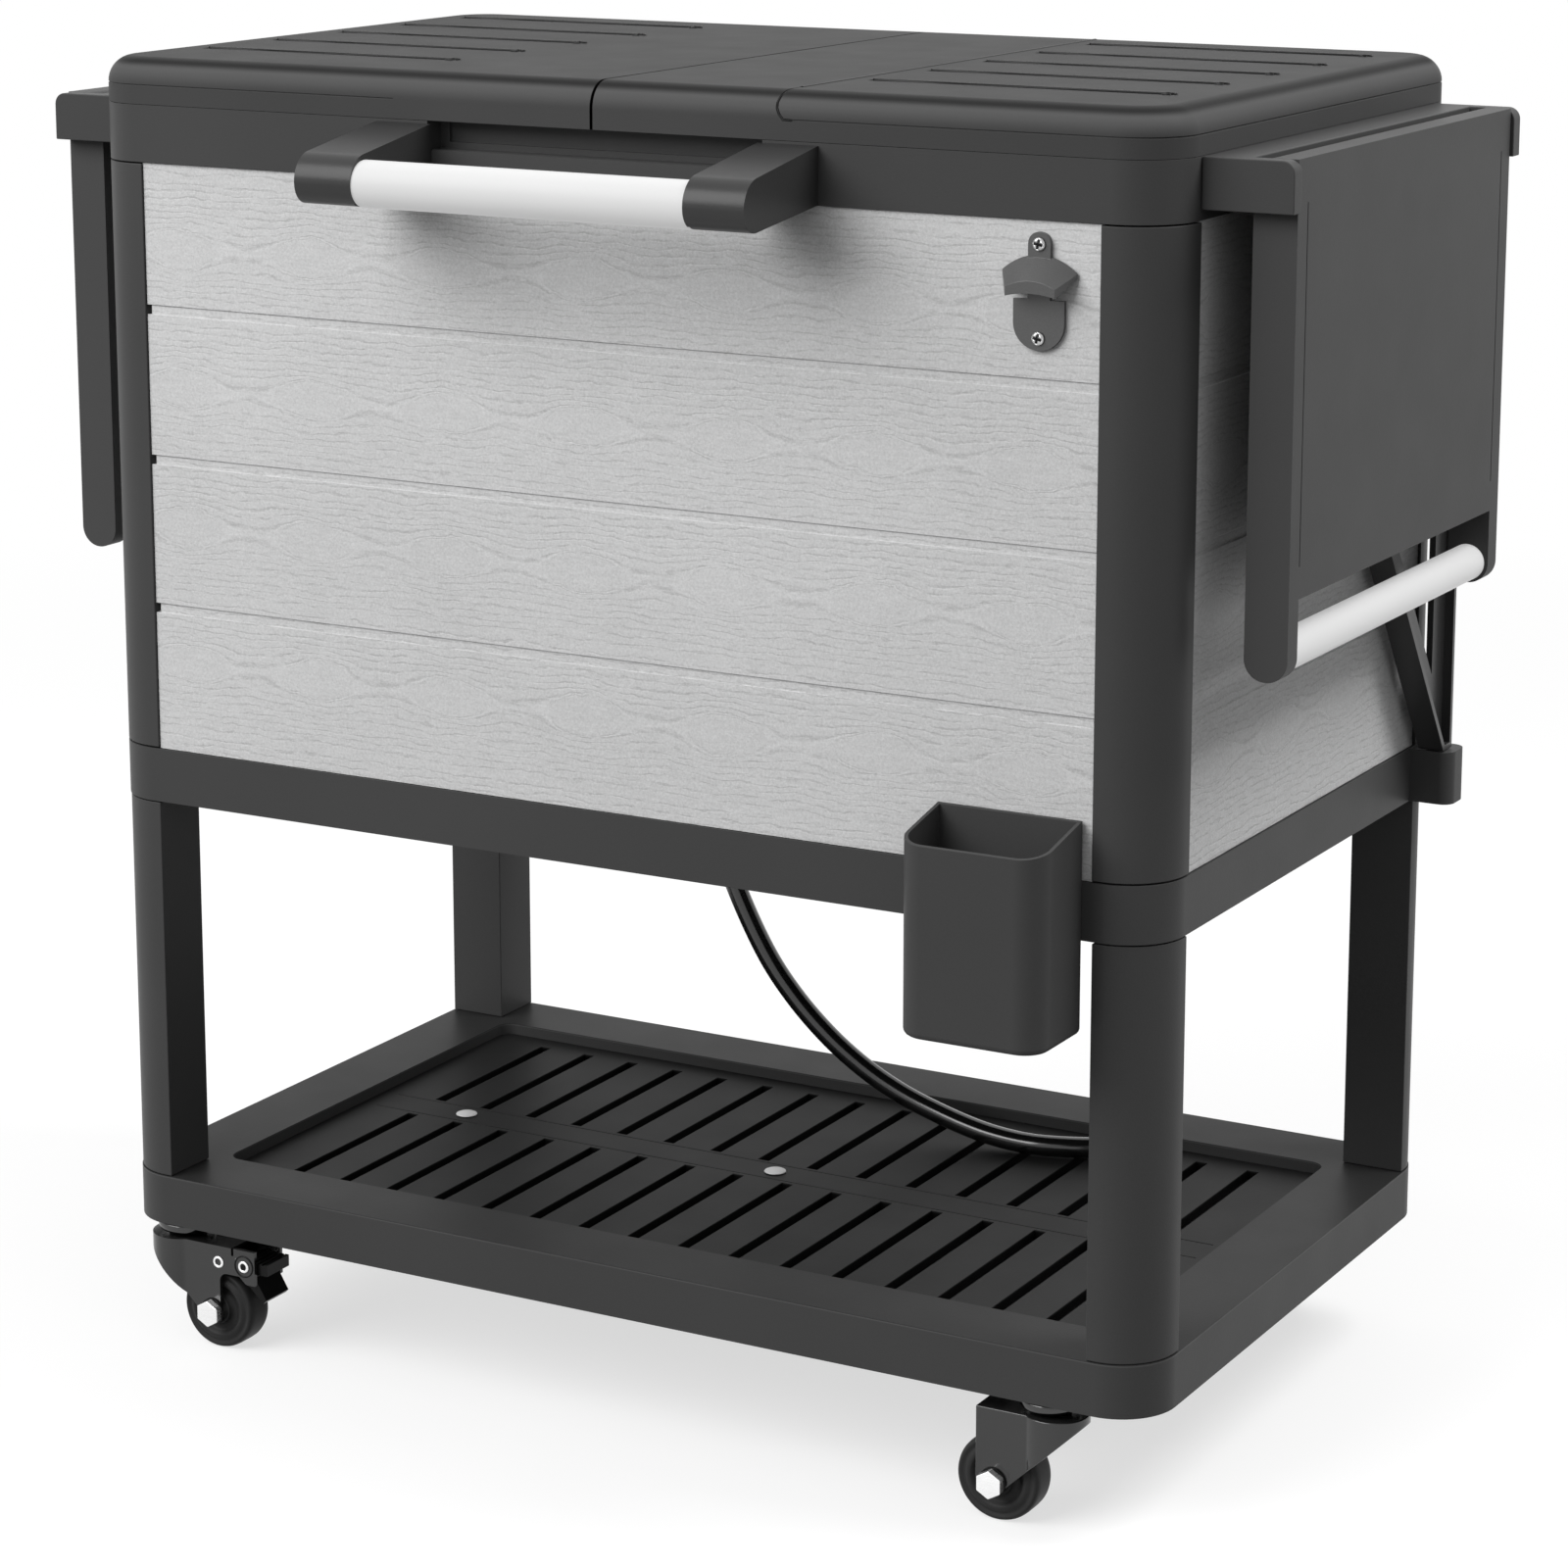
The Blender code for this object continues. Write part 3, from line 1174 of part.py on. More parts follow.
def make_gate(side_name, side):
    middle = gate_pivot_x(side)
    half = GATE_THICKNESS / 2
    gate = gate_prism("gate_" + side_name, 0, (middle - half, middle + half), "charcoal")
    web = GATE_WEB / 2
    for way in (-1, 1):
        low, high = mirrored_span(way, web, half + OVERRUN)
        cut(gate, gate_prism(f"gate_pocket_{side_name}_{way}", GATE_FLANGE, (middle + low, middle + high)))
    cut(gate, gate_prism("gate_window_" + side_name, GATE_WEB_BORDER, (middle - half, middle + half)))
    place = (middle, gate_pivot_y())
    low, high = BAND_TOP + LOOSE_FIT, RIM_TOP - BRACKET_HEIGHT - LOOSE_FIT
    for end, (start, stop) in (
        ("bottom", (low - GATE_PIN_LENGTH, low + GATE_FLANGE)),
        ("top", (high - GATE_FLANGE, high + GATE_PIN_LENGTH)),
    ):
        join(gate, slim_rod(f"gate_pin_{side_name}_{end}", GATE_PIN_RADIUS, "z", (start, stop), place))
    return gate


def opener_x():
    return POST_INNER_X - OPENER_FROM_POST


def opener_top():
    return RIM_BOTTOM - OPENER_BELOW_RIM


def opener_screw_levels():
    top = opener_top() - OPENER_SCREW_INSET
    return [("upper", top), ("lower", opener_top() - OPENER_HEIGHT + OPENER_SCREW_INSET)]


def make_opener():
    x, top = opener_x(), opener_top()
    back = PANEL_FACE - FIT
    plate_y = (back - OPENER_THICKNESS, back)
    shoulder = top - OPENER_NECK_LENGTH
    bottom = top - OPENER_HEIGHT
    plate_half, ear_half = OPENER_PLATE_WIDTH / 2, OPENER_EAR_WIDTH / 2
    bm = bmesh.new()
    fill_box(bm, (x - plate_half, x + plate_half), plate_y, (bottom, shoulder))
    round_edges(
        bm,
        plate_half - FIT,
        CORNER_SEGMENTS,
        lambda where, along: lengthways(along) and where.z < bottom + FIT,
    )
    opener = from_bmesh("bottle_opener", bm, "opener")
    ear = bmesh.new()
    fill_box(ear, (x - ear_half, x + ear_half), plate_y, (shoulder - OPENER_THICKNESS, top))
    round_edges(
        ear,
        ear_half - FIT,
        CORNER_SEGMENTS,
        lambda where, along: lengthways(along) and where.z > top - FIT,
    )
    join(opener, from_bmesh("opener_ear", ear, None))
    join(opener, opener_hood("opener_hood", 0))
    cut(opener, opener_hood("opener_hood_hollow", OPENER_HOOD_SHEET))
    ends = (plate_y[0] - OPENER_HOOD_REACH, plate_y[1] + OVERRUN)
    for place, z in opener_screw_levels():
        cut(opener, slim_rod("opener_hole_" + place, OPENER_SHANK_RADIUS + FIT, "y", ends, (x, z)))
        make_opener_screw("opener_screw_" + place, x, z, plate_y[0])


def hood_levels(across, out):
    """Top and bottom of the hood, at shares of its half width and of its reach."""
    at_wall = OPENER_HOOD_TOP_DROP + OPENER_HOOD_ARCH * across**2
    at_lip = OPENER_LIP_TOP_DROP + OPENER_LIP_ARCH * across**2
    top = opener_top() - at_wall - (at_lip - at_wall) * out
    fall = OPENER_LIP_BOTTOM_DROP - OPENER_HOOD_BOTTOM_DROP
    return top, opener_top() - OPENER_HOOD_BOTTOM_DROP - fall * out


def opener_hood(name, sheet):
    """The arched hood, which narrows and falls to its lip. Given a sheet, it is the hollow under it."""
    wall = PANEL_FACE - FIT
    lip = wall - OPENER_HOOD_REACH + sheet
    back = wall - OPENER_THICKNESS - FIT if sheet else wall - OPENER_THICKNESS / 2
    bm = bmesh.new()
    fill_box(bm, (-1, 1), (lip, back), (0, 1))
    long_edges = [edge for edge in bm.edges if edge.verts[0].co.x * edge.verts[1].co.x < 0]
    bmesh.ops.subdivide_edges(bm, edges=long_edges, cuts=OPENER_HOOD_CUTS, use_grid_fill=True)
    for vert in bm.verts:
        out = (wall - vert.co.y) / OPENER_HOOD_REACH
        half = OPENER_HOOD_HALF_WIDTH + (OPENER_LIP_HALF_WIDTH - OPENER_HOOD_HALF_WIDTH) * out
        beside = vert.co.x * (half - sheet)
        top, bottom = hood_levels(beside / half, out)
        under = bottom - OVERRUN if sheet else bottom
        level = top - sheet if vert.co.z > 0 else under
        vert.co = (opener_x() + beside, vert.co.y, level)
    return from_bmesh(name, bm, None)


def make_opener_screw(name, x, z, face):
    screw = turned(
        name,
        (
            (0, OPENER_SCREW_LENGTH),
            (OPENER_SHANK_RADIUS, OPENER_SCREW_LENGTH),
            (OPENER_SHANK_RADIUS, -FIT),
            (OPENER_SCREW_RADIUS, -FIT),
            (OPENER_SCREW_RADIUS - OPENER_SCREW_HEIGHT / 2, -OPENER_SCREW_HEIGHT),
            (0, -OPENER_SCREW_HEIGHT),
        ),
        "y",
        (x, face, z),
        "chrome",
        steps=PIN_STEPS,
    )
    half, long = OPENER_CROSS_WIDTH / 2, OPENER_CROSS_LENGTH / 2
    depth = (face - OPENER_SCREW_HEIGHT - OVERRUN, face - OPENER_SCREW_HEIGHT / 2)
    cut(screw, box(name + "_cross_a", (x - half, x + half), depth, (z - long, z + long)))
    cut(screw, box(name + "_cross_b", (x - long, x + long), depth, (z - half, z + half)))


def bin_block(name, inset, z_low, lift, kind=None):
    """The catch bin's outline, with its front lower than its back, drawn in by a wall."""
    middle = bin_middle_x()
    half = BIN_WIDTH / 2 - inset
    back = FRONT_Y - LOOSE_FIT - inset
    front = FRONT_Y - LOOSE_FIT - BIN_DEPTH + inset
    bottom = BAND_BOTTOM - BIN_BELOW_BAND
    bm = bmesh.new()
    tall = (z_low, bottom + BIN_BACK_HEIGHT)
    for vert in fill_box(bm, (middle - half, middle + half), (front, back), tall):
        if vert.co.z > z_low + FIT:
            height = BIN_FRONT_HEIGHT if vert.co.y < (front + back) / 2 else BIN_BACK_HEIGHT
            vert.co.z = bottom + height + lift
    round_edges(
        bm,
        BIN_ROUND - inset,
        EDGE_SEGMENTS,
        lambda where, along: upright(along) and where.y < (front + back) / 2,
    )
    round_edges(bm, BIN_FOOT_ROUND - inset, FOOT_SEGMENTS, lambda where, along: where.z < z_low + FIT)
    return from_bmesh(name, bm, kind)


def make_bin():
    bottom = BAND_BOTTOM - BIN_BELOW_BAND
    catch = bin_block("catch_bin", 0, bottom, 0, "charcoal")
    cut(catch, bin_block("bin_hollow", BIN_WALL, bottom + BIN_WALL, OVERRUN))
    back = (FRONT_Y - LOOSE_FIT - BIN_WALL - OVERRUN / 2, FRONT_Y + OVERRUN)
    for side_name, side in SIDES:
        x = bin_middle_x() + side * BIN_LUG_SPREAD / 2
        z = bin_lug_z()
        neck = BIN_LUG_NECK_RADIUS + LOOSE_FIT
        drop = z - BIN_LIFT
        cut(catch, box("keyhole_slot_" + side_name, (x - neck, x + neck), back, (drop, z + neck)))
        eye_radius = BIN_LUG_HEAD_RADIUS + LOOSE_FIT
        cut(catch, slim_rod("keyhole_eye_" + side_name, eye_radius, "y", back, (x, drop)))
    set_origin(catch, (bin_middle_x(), FRONT_Y, bin_lug_z()))


def drain_y():
    return BACK_Y - DRAIN_FROM_BACK


def drain_outlet():
    """Where the hose starts: under the barb of the drain fitting."""
    return BAND_TOP - BAND_PLATE - DRAIN_NUT_HEIGHT - DRAIN_BARB_LENGTH


def make_drain():
    top = LINER_BOTTOM + LINER_WALL + FIT
    under = BAND_TOP - BAND_PLATE - FIT
    turned(
        "drain_fitting",
        (
            (DRAIN_BORE_RADIUS, top + DRAIN_FLANGE_HEIGHT),
            (DRAIN_FLANGE_RADIUS - DRAIN_FLANGE_HEIGHT, top + DRAIN_FLANGE_HEIGHT),
            (DRAIN_FLANGE_RADIUS, top),
            (DRAIN_TUBE_RADIUS, top),
            (DRAIN_TUBE_RADIUS, under),
            (DRAIN_NUT_RADIUS, under),
            (DRAIN_NUT_RADIUS, under - DRAIN_NUT_HEIGHT),
            (DRAIN_BARB_RADIUS, under - DRAIN_NUT_HEIGHT),
            (DRAIN_BARB_RADIUS, drain_outlet() + FIT),
            (DRAIN_BORE_RADIUS, drain_outlet() + FIT),
        ),
        "z",
        (DRAIN_X, drain_y(), 0),
        "black",
        steps=SMALL_STEPS,
        ring=True,
    )


def hose_route():
    """The hose's points: straight down from the barb, then through the hand-chosen places."""
    start = Vector((DRAIN_X, drain_y(), drain_outlet()))
    shift = Vector((0, MIDDLE_Y, BASE_BOTTOM))
    return [start] + [Vector(point) + shift for point in HOSE_POINTS]


def smooth_route(points, steps):
    """Points along one smooth curve through the given points."""
    tangents = []
    for index, point in enumerate(points):
        before = points[max(index - 1, 0)]
        after = points[min(index + 1, len(points) - 1)]
        tangents.append((after - before) / 2)
    tangents[0] = Vector((0, 0, -tangents[0].length))
    route = []
    for index in range(len(points) - 1):
        first, second = points[index], points[index + 1]
        route += interpolate_bezier(
            first,
            first + tangents[index] / 3,
            second - tangents[index + 1] / 3,
            second,
            steps + 1,
        )[:-1]
    return route + [points[-1]]


def make_hose():
    route = smooth_route(hose_route(), 3)
    curve = bpy.data.curves.new("drain_hose", "CURVE")
    curve.dimensions = "3D"
    curve.bevel_depth = HOSE_RADIUS
    curve.bevel_resolution = 2
    curve.use_fill_caps = True
    line = curve.splines.new("POLY")
    line.points.add(len(route) - 1)
    for point, place in zip(line.points, route):
        point.co = (*place, 1)
    hose = bpy.data.objects.new("drain_hose", curve)
    curve.materials.append(SURFACES["rubber"])
    PARTS.objects.link(hose)


def fork_top():
    return BASE_BOTTOM - RACEWAY_HEIGHT - RACEWAY_COLLAR_HEIGHT - 2 * FIT


def make_caster_head(name, x, y):
    top = BASE_BOTTOM - FIT
    bell = top - RACEWAY_HEIGHT
    under = fork_top() - FORK_SHEET - FIT
    turned(
        "caster_head_" + name,
        (
            (0, top + STEM_LENGTH),
            (STEM_RADIUS, top + STEM_LENGTH),
            (STEM_RADIUS, top),
            (RACEWAY_RADIUS - RACEWAY_HEIGHT / 4, top),
            (RACEWAY_RADIUS, top - RACEWAY_HEIGHT / 2),
            (RACEWAY_RADIUS - RACEWAY_HEIGHT / 8, bell),
            (RACEWAY_COLLAR_RADIUS, bell),
            (RACEWAY_COLLAR_RADIUS, bell - RACEWAY_COLLAR_HEIGHT),
            (KINGPIN_RADIUS, bell - RACEWAY_COLLAR_HEIGHT),
            (KINGPIN_RADIUS, under),
            (KINGPIN_HEAD_RADIUS, under),
            (KINGPIN_HEAD_RADIUS, under - KINGPIN_HEAD_HEIGHT),
            (0, under - KINGPIN_HEAD_HEIGHT),
        ),
        "z",
        (x, y, 0),
        "black",
        steps=SMALL_STEPS,
    )


def trail_span(x, trail, near, far):
    """Places out from the swivel axis, on the side that the wheel trails to."""
    return tuple(sorted((x + trail * near, x + trail * far)))


def fork_form(name, at, tail, sheet, z, kind=None):
    """The fork from above: two cheeks and a round nose that is wider. Given a sheet, the room inside."""
    x, y, trail = at
    half, radius = fork_half() - sheet, FORK_NOSE_RADIUS - sheet
    crease = math.asin(half / radius)
    outline = [(tail, half)]
    for step in range(FORK_NOSE_STEPS + 1):
        turn = crease + (math.tau - 2 * crease) * step / FORK_NOSE_STEPS
        outline.append((radius * math.cos(turn) - FORK_NOSE_SHIFT, radius * math.sin(turn)))
    outline.append((tail, -half))
    bm = bmesh.new()
    rings = []
    for level in z:
        rings.append([bm.verts.new((x + trail * out, y + aside, level)) for out, aside in outline])
    bm.faces.new(rings[0])
    bm.faces.new(rings[1])
    for index in range(len(outline)):
        low, high = rings
        bm.faces.new((low[index - 1], low[index], high[index], high[index - 1]))
    corner = tail - CASTER_TRAIL - FIT

    def at_foot(where, along):
        return lengthways(along) and where.z < z[0] + FIT and (where.x - x) * trail > tail - FIT

    if kind:
        round_edges(bm, corner, EDGE_SEGMENTS, at_foot)
    return from_bmesh(name, bm, kind)


def side_prism(name, outline, y, kind=None):
    """A prism across the cooler from its outline seen from the front."""
    bm = bmesh.new()
    near, far = ([bm.verts.new((x, level, z)) for x, z in outline] for level in y)
    bm.faces.new(near)
    bm.faces.new(far)
    for index in range(len(outline)):
        bm.faces.new((near[index - 1], near[index], far[index], far[index - 1]))
    return from_bmesh(name, bm, kind)


def fork_half():
    return WHEEL_WIDTH / 2 + FORK_WHEEL_CLEARANCE + FORK_SHEET


def make_fork(name, x, y, trail, braked):
    top, half = fork_top(), fork_half()
    foot = WHEEL_RADIUS - FORK_FOOT_DROP
    tail = CASTER_TRAIL + (BRAKED_FORK_TAIL if braked else FORK_TAIL)
    fork = fork_form("caster_fork_" + name, (x, y, trail), tail, 0, (foot, top), "black")
    room = (foot - OVERRUN, top - FORK_SHEET)
    cut(fork, fork_form("fork_gap_" + name, (x, y, trail), tail + OVERRUN, FORK_SHEET, room))
    gap = half - FORK_SHEET
    tip = -FORK_NOSE_RADIUS - FORK_NOSE_SHIFT
    foot_out, tip_level = CASTER_TRAIL - FORK_FOOT, top - FORK_NOSE_DEPTH
    slope = (tip_level - foot) / (foot_out - tip)
    under = foot - OVERRUN
    outline = [
        (x + trail * (tip - OVERRUN), tip_level + slope * OVERRUN),
        (x + trail * (foot_out + OVERRUN / slope), under),
        (x + trail * (tip - OVERRUN), under),
    ]
    aside = FORK_NOSE_RADIUS + OVERRUN
    cut(fork, side_prism("fork_slant_" + name, outline, (y - aside, y + aside)))
    if braked:
        for way in (-1, 1):
            near, far = mirrored_span(way, gap, half)
            plate = box(
                f"brake_plate_{name}_{way}",
                trail_span(x, trail, CASTER_TRAIL, BRAKE_PLATE_END),
                (y + near, y + far),
                (top - BRAKE_PLATE_HEIGHT, top - FIT),
            )
            join(fork, plate)
        pivot = (x + trail * BRAKE_PIVOT_OUT, top - BRAKE_PIVOT_DROP)
        past = (y - half - OVERRUN, y + half + OVERRUN)
        hole_radius = BRAKE_RIVET_RADIUS - BRAKE_RIVET_HEIGHT + FIT
        cut(fork, slim_rod("pedal_hole_" + name, hole_radius, "y", past, pivot))
        for way in (-1, 1):
            at = (x + trail * BRAKE_FIXED_RIVET_OUT, top - BRAKE_PIVOT_DROP)
            near, far = mirrored_span(way, half - FORK_SHEET / 2, half + BRAKE_RIVET_HEIGHT)
            ends = (y + near, y + far)
            join(fork, slim_rod(f"fixed_rivet_{name}_{way}", BRAKE_RIVET_RADIUS, "y", ends, at))
    reach = (top - FORK_SHEET - OVERRUN, top + OVERRUN)
    cut(fork, slim_rod("kingpin_hole_" + name, KINGPIN_RADIUS + FIT, "z", reach, (x, y)))
    axle = (x + trail * CASTER_TRAIL, WHEEL_RADIUS)
    across = (y - half - OVERRUN, y + half + OVERRUN)
    cut(fork, slim_rod("fork_axle_hole_" + name, AXLE_RADIUS + FIT, "y", across, axle))
    set_origin(fork, (x, y, top))


def make_wheel(name, x, y, trail):
    half, dish = WHEEL_WIDTH / 2, WHEEL_WIDTH / 2 - WHEEL_DISH_DEPTH
    bore = AXLE_RADIUS + FIT
    side_profile = [
        (bore, half),
        (WHEEL_HUB_RADIUS, half),
        (WHEEL_HUB_RADIUS, dish),
        (WHEEL_DISH_RADIUS, dish),
        (WHEEL_DISH_RADIUS, half - WHEEL_ROUND / 4),
        (WHEEL_RADIUS - WHEEL_ROUND, half),
        (WHEEL_RADIUS, half - WHEEL_ROUND),
    ]
    profile = side_profile + [(radius, -height) for radius, height in reversed(side_profile)]
    place = (x + trail * CASTER_TRAIL, y, WHEEL_RADIUS)
    turned("wheel_" + name, profile, "y", place, "wheel", ring=True)


def hex_block(name, axis_at, ends):
    """A six-sided head or nut along Y, with a point upwards."""
    bm = bmesh.new()
    radius = HEX_ACROSS_FLATS / math.sqrt(3)
    middle = (axis_at[0], (ends[0] + ends[1]) / 2, axis_at[1])
    bmesh.ops.create_cone(
        bm,
        cap_ends=True,
        segments=HEX_SIDES,
        radius1=radius,
        radius2=radius,
        depth=abs(ends[1] - ends[0]),
        matrix=Matrix.Translation(middle) @ TURNED_TO["y"],
    )
    return from_bmesh(name, bm, None)


def make_axle(name, x, y, trail):
    at = (x + trail * CASTER_TRAIL, WHEEL_RADIUS)
    seat = fork_half() + FIT
    end = seat + WASHER_HEIGHT + HEX_HEIGHT / 2
    axle = slim_rod("axle_bolt_" + name, AXLE_RADIUS, "y", (y - end, y + end), at, "chrome")
    for tag, way in (("head", -1), ("nut", 1)):
        near, far = mirrored_span(way, seat + WASHER_HEIGHT / 2, seat + WASHER_HEIGHT + HEX_HEIGHT)
        join(axle, hex_block(f"axle_{tag}_{name}", at, (y + near, y + far)))
        near, far = mirrored_span(way, seat, seat + WASHER_HEIGHT)
        join(axle, slim_rod(f"axle_washer_{tag}_{name}", WASHER_RADIUS, "y", (y + near, y + far), at))


def make_pedal(name, x, y, trail):
    """The brake lever: a level tread with a lip, and an arm that slants down past the wheel."""
    pivot_x, pivot_z = x + trail * BRAKE_PIVOT_OUT, fork_top() - BRAKE_PIVOT_DROP
    half = fork_half()
    inside = half - FORK_SHEET - PEDAL_SIDE_CLEARANCE
    lip_bottom = PEDAL_TOP - PEDAL_LIP
    side = PEDAL_ARM_SHEET / math.sqrt(2)
    outline = [
        (-PEDAL_INNER, PEDAL_TOP),
        (PEDAL_OUTER, PEDAL_TOP),
        (PEDAL_OUTER, lip_bottom),
        (PEDAL_OUTER - PEDAL_LIP_LENGTH, lip_bottom),
        (PEDAL_OUTER - PEDAL_LIP_LENGTH - side, lip_bottom - side),
        (PEDAL_ARM_OUT + side, side - PEDAL_ARM_DROP),
        (PEDAL_ARM_OUT, -PEDAL_ARM_DROP),
        (-PEDAL_INNER, -PEDAL_ARM_START),
    ]
    placed = [(pivot_x + trail * out, pivot_z + up) for out, up in outline]
    pedal = side_prism("brake_pedal_" + name, placed, (y - inside, y + inside), "black")
    pin_end = half + BRAKE_RIVET_HEIGHT
    pin_radius = BRAKE_RIVET_RADIUS - BRAKE_RIVET_HEIGHT
    pivot = (pivot_x, pivot_z)
    join(pedal, slim_rod("pedal_pin_" + name, pin_radius, "y", (y - pin_end, y + pin_end), pivot))
    for way in (-1, 1):
        near, far = mirrored_span(way, half + FIT, half + BRAKE_RIVET_HEIGHT + FIT)
        ends = (y + near, y + far)
        join(pedal, slim_rod(f"pedal_rivet_{name}_{way}", BRAKE_RIVET_RADIUS, "y", ends, pivot))
    set_origin(pedal, (pivot_x, y, pivot_z))


def make_casters():
    for name, _, _ in CORNERS:
        x, y, trail = caster_place(name)
        braked = trail > 0
        make_caster_head(name, x, y)
        make_fork(name, x, y, trail, braked)
        make_wheel(name, x, y, trail)
        make_axle(name, x, y, trail)
        if braked:
            make_pedal(name, x, y, trail)


make_base()
make_shelf()
make_legs_and_posts()
make_band()
make_panels()
make_foam()
make_liner()
make_rim()
for lid_side_name, lid_side in SIDES:
    make_lid(lid_side_name, lid_side)
make_handle()
for table_side_name, table_side in SIDES:
    make_table(table_side_name, table_side)
    make_bracket(table_side_name, table_side)
    make_gate(table_side_name, table_side)
make_opener()
make_bin()
make_drain()
make_hose()
make_casters()
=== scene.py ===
"""Dresses the rolling patio cooler: a studio, its camera and the cooler's finished pieces."""

import math

import bmesh
import bpy
from mathutils import Matrix, Vector
from mathutils.geometry import interpolate_bezier


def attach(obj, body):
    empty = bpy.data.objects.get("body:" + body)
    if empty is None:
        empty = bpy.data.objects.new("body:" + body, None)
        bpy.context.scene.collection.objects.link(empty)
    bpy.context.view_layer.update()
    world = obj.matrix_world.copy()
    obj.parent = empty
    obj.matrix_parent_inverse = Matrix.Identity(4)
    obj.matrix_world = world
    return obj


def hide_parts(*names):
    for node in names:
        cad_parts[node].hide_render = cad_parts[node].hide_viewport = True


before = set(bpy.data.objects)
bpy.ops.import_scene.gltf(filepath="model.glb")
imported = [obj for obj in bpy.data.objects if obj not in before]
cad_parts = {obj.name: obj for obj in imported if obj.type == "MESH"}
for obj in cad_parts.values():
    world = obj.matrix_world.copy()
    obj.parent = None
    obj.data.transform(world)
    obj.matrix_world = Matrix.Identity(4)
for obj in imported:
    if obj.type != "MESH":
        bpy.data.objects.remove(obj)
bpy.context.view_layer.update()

# Levels of the cooler above the floor
BASE_BOTTOM = 0.080
BASE_TOP = 0.112
SHELF_TOP = 0.1045
BAND_BOTTOM = 0.3557
BAND_TOP = 0.3893
RIM_BOTTOM = 0.751
RIM_TOP = 0.7854
SKIRT_TOP = 0.797
LID_TOP = 0.813

# The body's planes
HALF_WIDTH = 0.357
MIDDLE_Y = 0.03525
HALF_DEPTH = 0.212
FRONT_Y = MIDDLE_Y - HALF_DEPTH
BACK_Y = MIDDLE_Y + HALF_DEPTH
CORNER_RADIUS = 0.035
POST_SIDE = 0.0405
POST_X = HALF_WIDTH - POST_SIDE
POST_Y = HALF_DEPTH - POST_SIDE
FIT = 0.0003
JOINT_LINE = 0.0010
PAST = 0.004

# Side tables, handle and casters
TABLE_INNER = 0.3828
TABLE_OUTER = 0.4083
TABLE_HALF = 0.163
TABLE_AXIS = (0.39555, 0.77265)
HANDLE_NOSE = (FRONT_Y - 0.06865, 0.75615)
NOSE_RADIUS = 0.01435
WHEEL_RADIUS = 0.026
TRAIL = 0.029
FORK_TOP = 0.0702
BRAKE_OUT = 0.0538
BRAKE_LEVEL = FORK_TOP - 0.0104

# Hinges of the lids and pivots of the gates
HINGES_X = (0.060, HALF_WIDTH - 0.120)
HINGE_LENGTH = 0.040
HINGE_RADIUS = 0.0055
HINGE_Y = BACK_Y + 0.007
HINGE_AXIS = (HINGE_Y, RIM_TOP)
HINGE_WEB_Y = (BACK_Y - 0.004, HINGE_Y)
GATE_PIVOT = MIDDLE_Y + 0.170
GATE_Z = (BAND_TOP + 0.0005, RIM_TOP - 0.029)

# Drain, tray, bin and opener
DRAIN_AT = (-0.108, BACK_Y - 0.112)
DRAIN_HOLE = 0.0088
TRAY_FLANGE = 0.048
TRAY_WALL = 0.0035
BIN_X = 0.26675
BIN_BOTTOM = BAND_BOTTOM - 0.054
LUG_ASIDE = 0.022
LUG_LEVEL = 0.3725
OPENER_X = 0.281

# Slots of a lid, grooves of a panel and the grain of the boards
LID_SLOTS = [MIDDLE_Y + 0.0142 + (index - 2) * 0.0716 for index in range(5)]
GROOVE = 0.006
EYE_HALF = 0.012

SIDES = (("left", -1), ("right", 1))
CORNERS = (
    ("front_left", -1, -1), ("front_right", 1, -1), ("back_left", -1, 1), ("back_right", 1, 1),
)


def aim_camera():
    """The photograph's viewing angle: from the front right, a little above."""
    optics = bpy.data.cameras.new("camera")
    optics.lens = 99.77
    optics.sensor_width = 36
    optics.shift_y = -0.12
    optics.clip_start = 0.1
    optics.clip_end = 60
    camera = bpy.data.objects.new("camera", optics)
    bpy.context.scene.collection.objects.link(camera)
    camera.location = (1.2847, -2.2638, 1.0282)
    camera.rotation_euler = (math.radians(90 - 11.779), 0, math.radians(29.075))
    bpy.context.scene.camera = camera


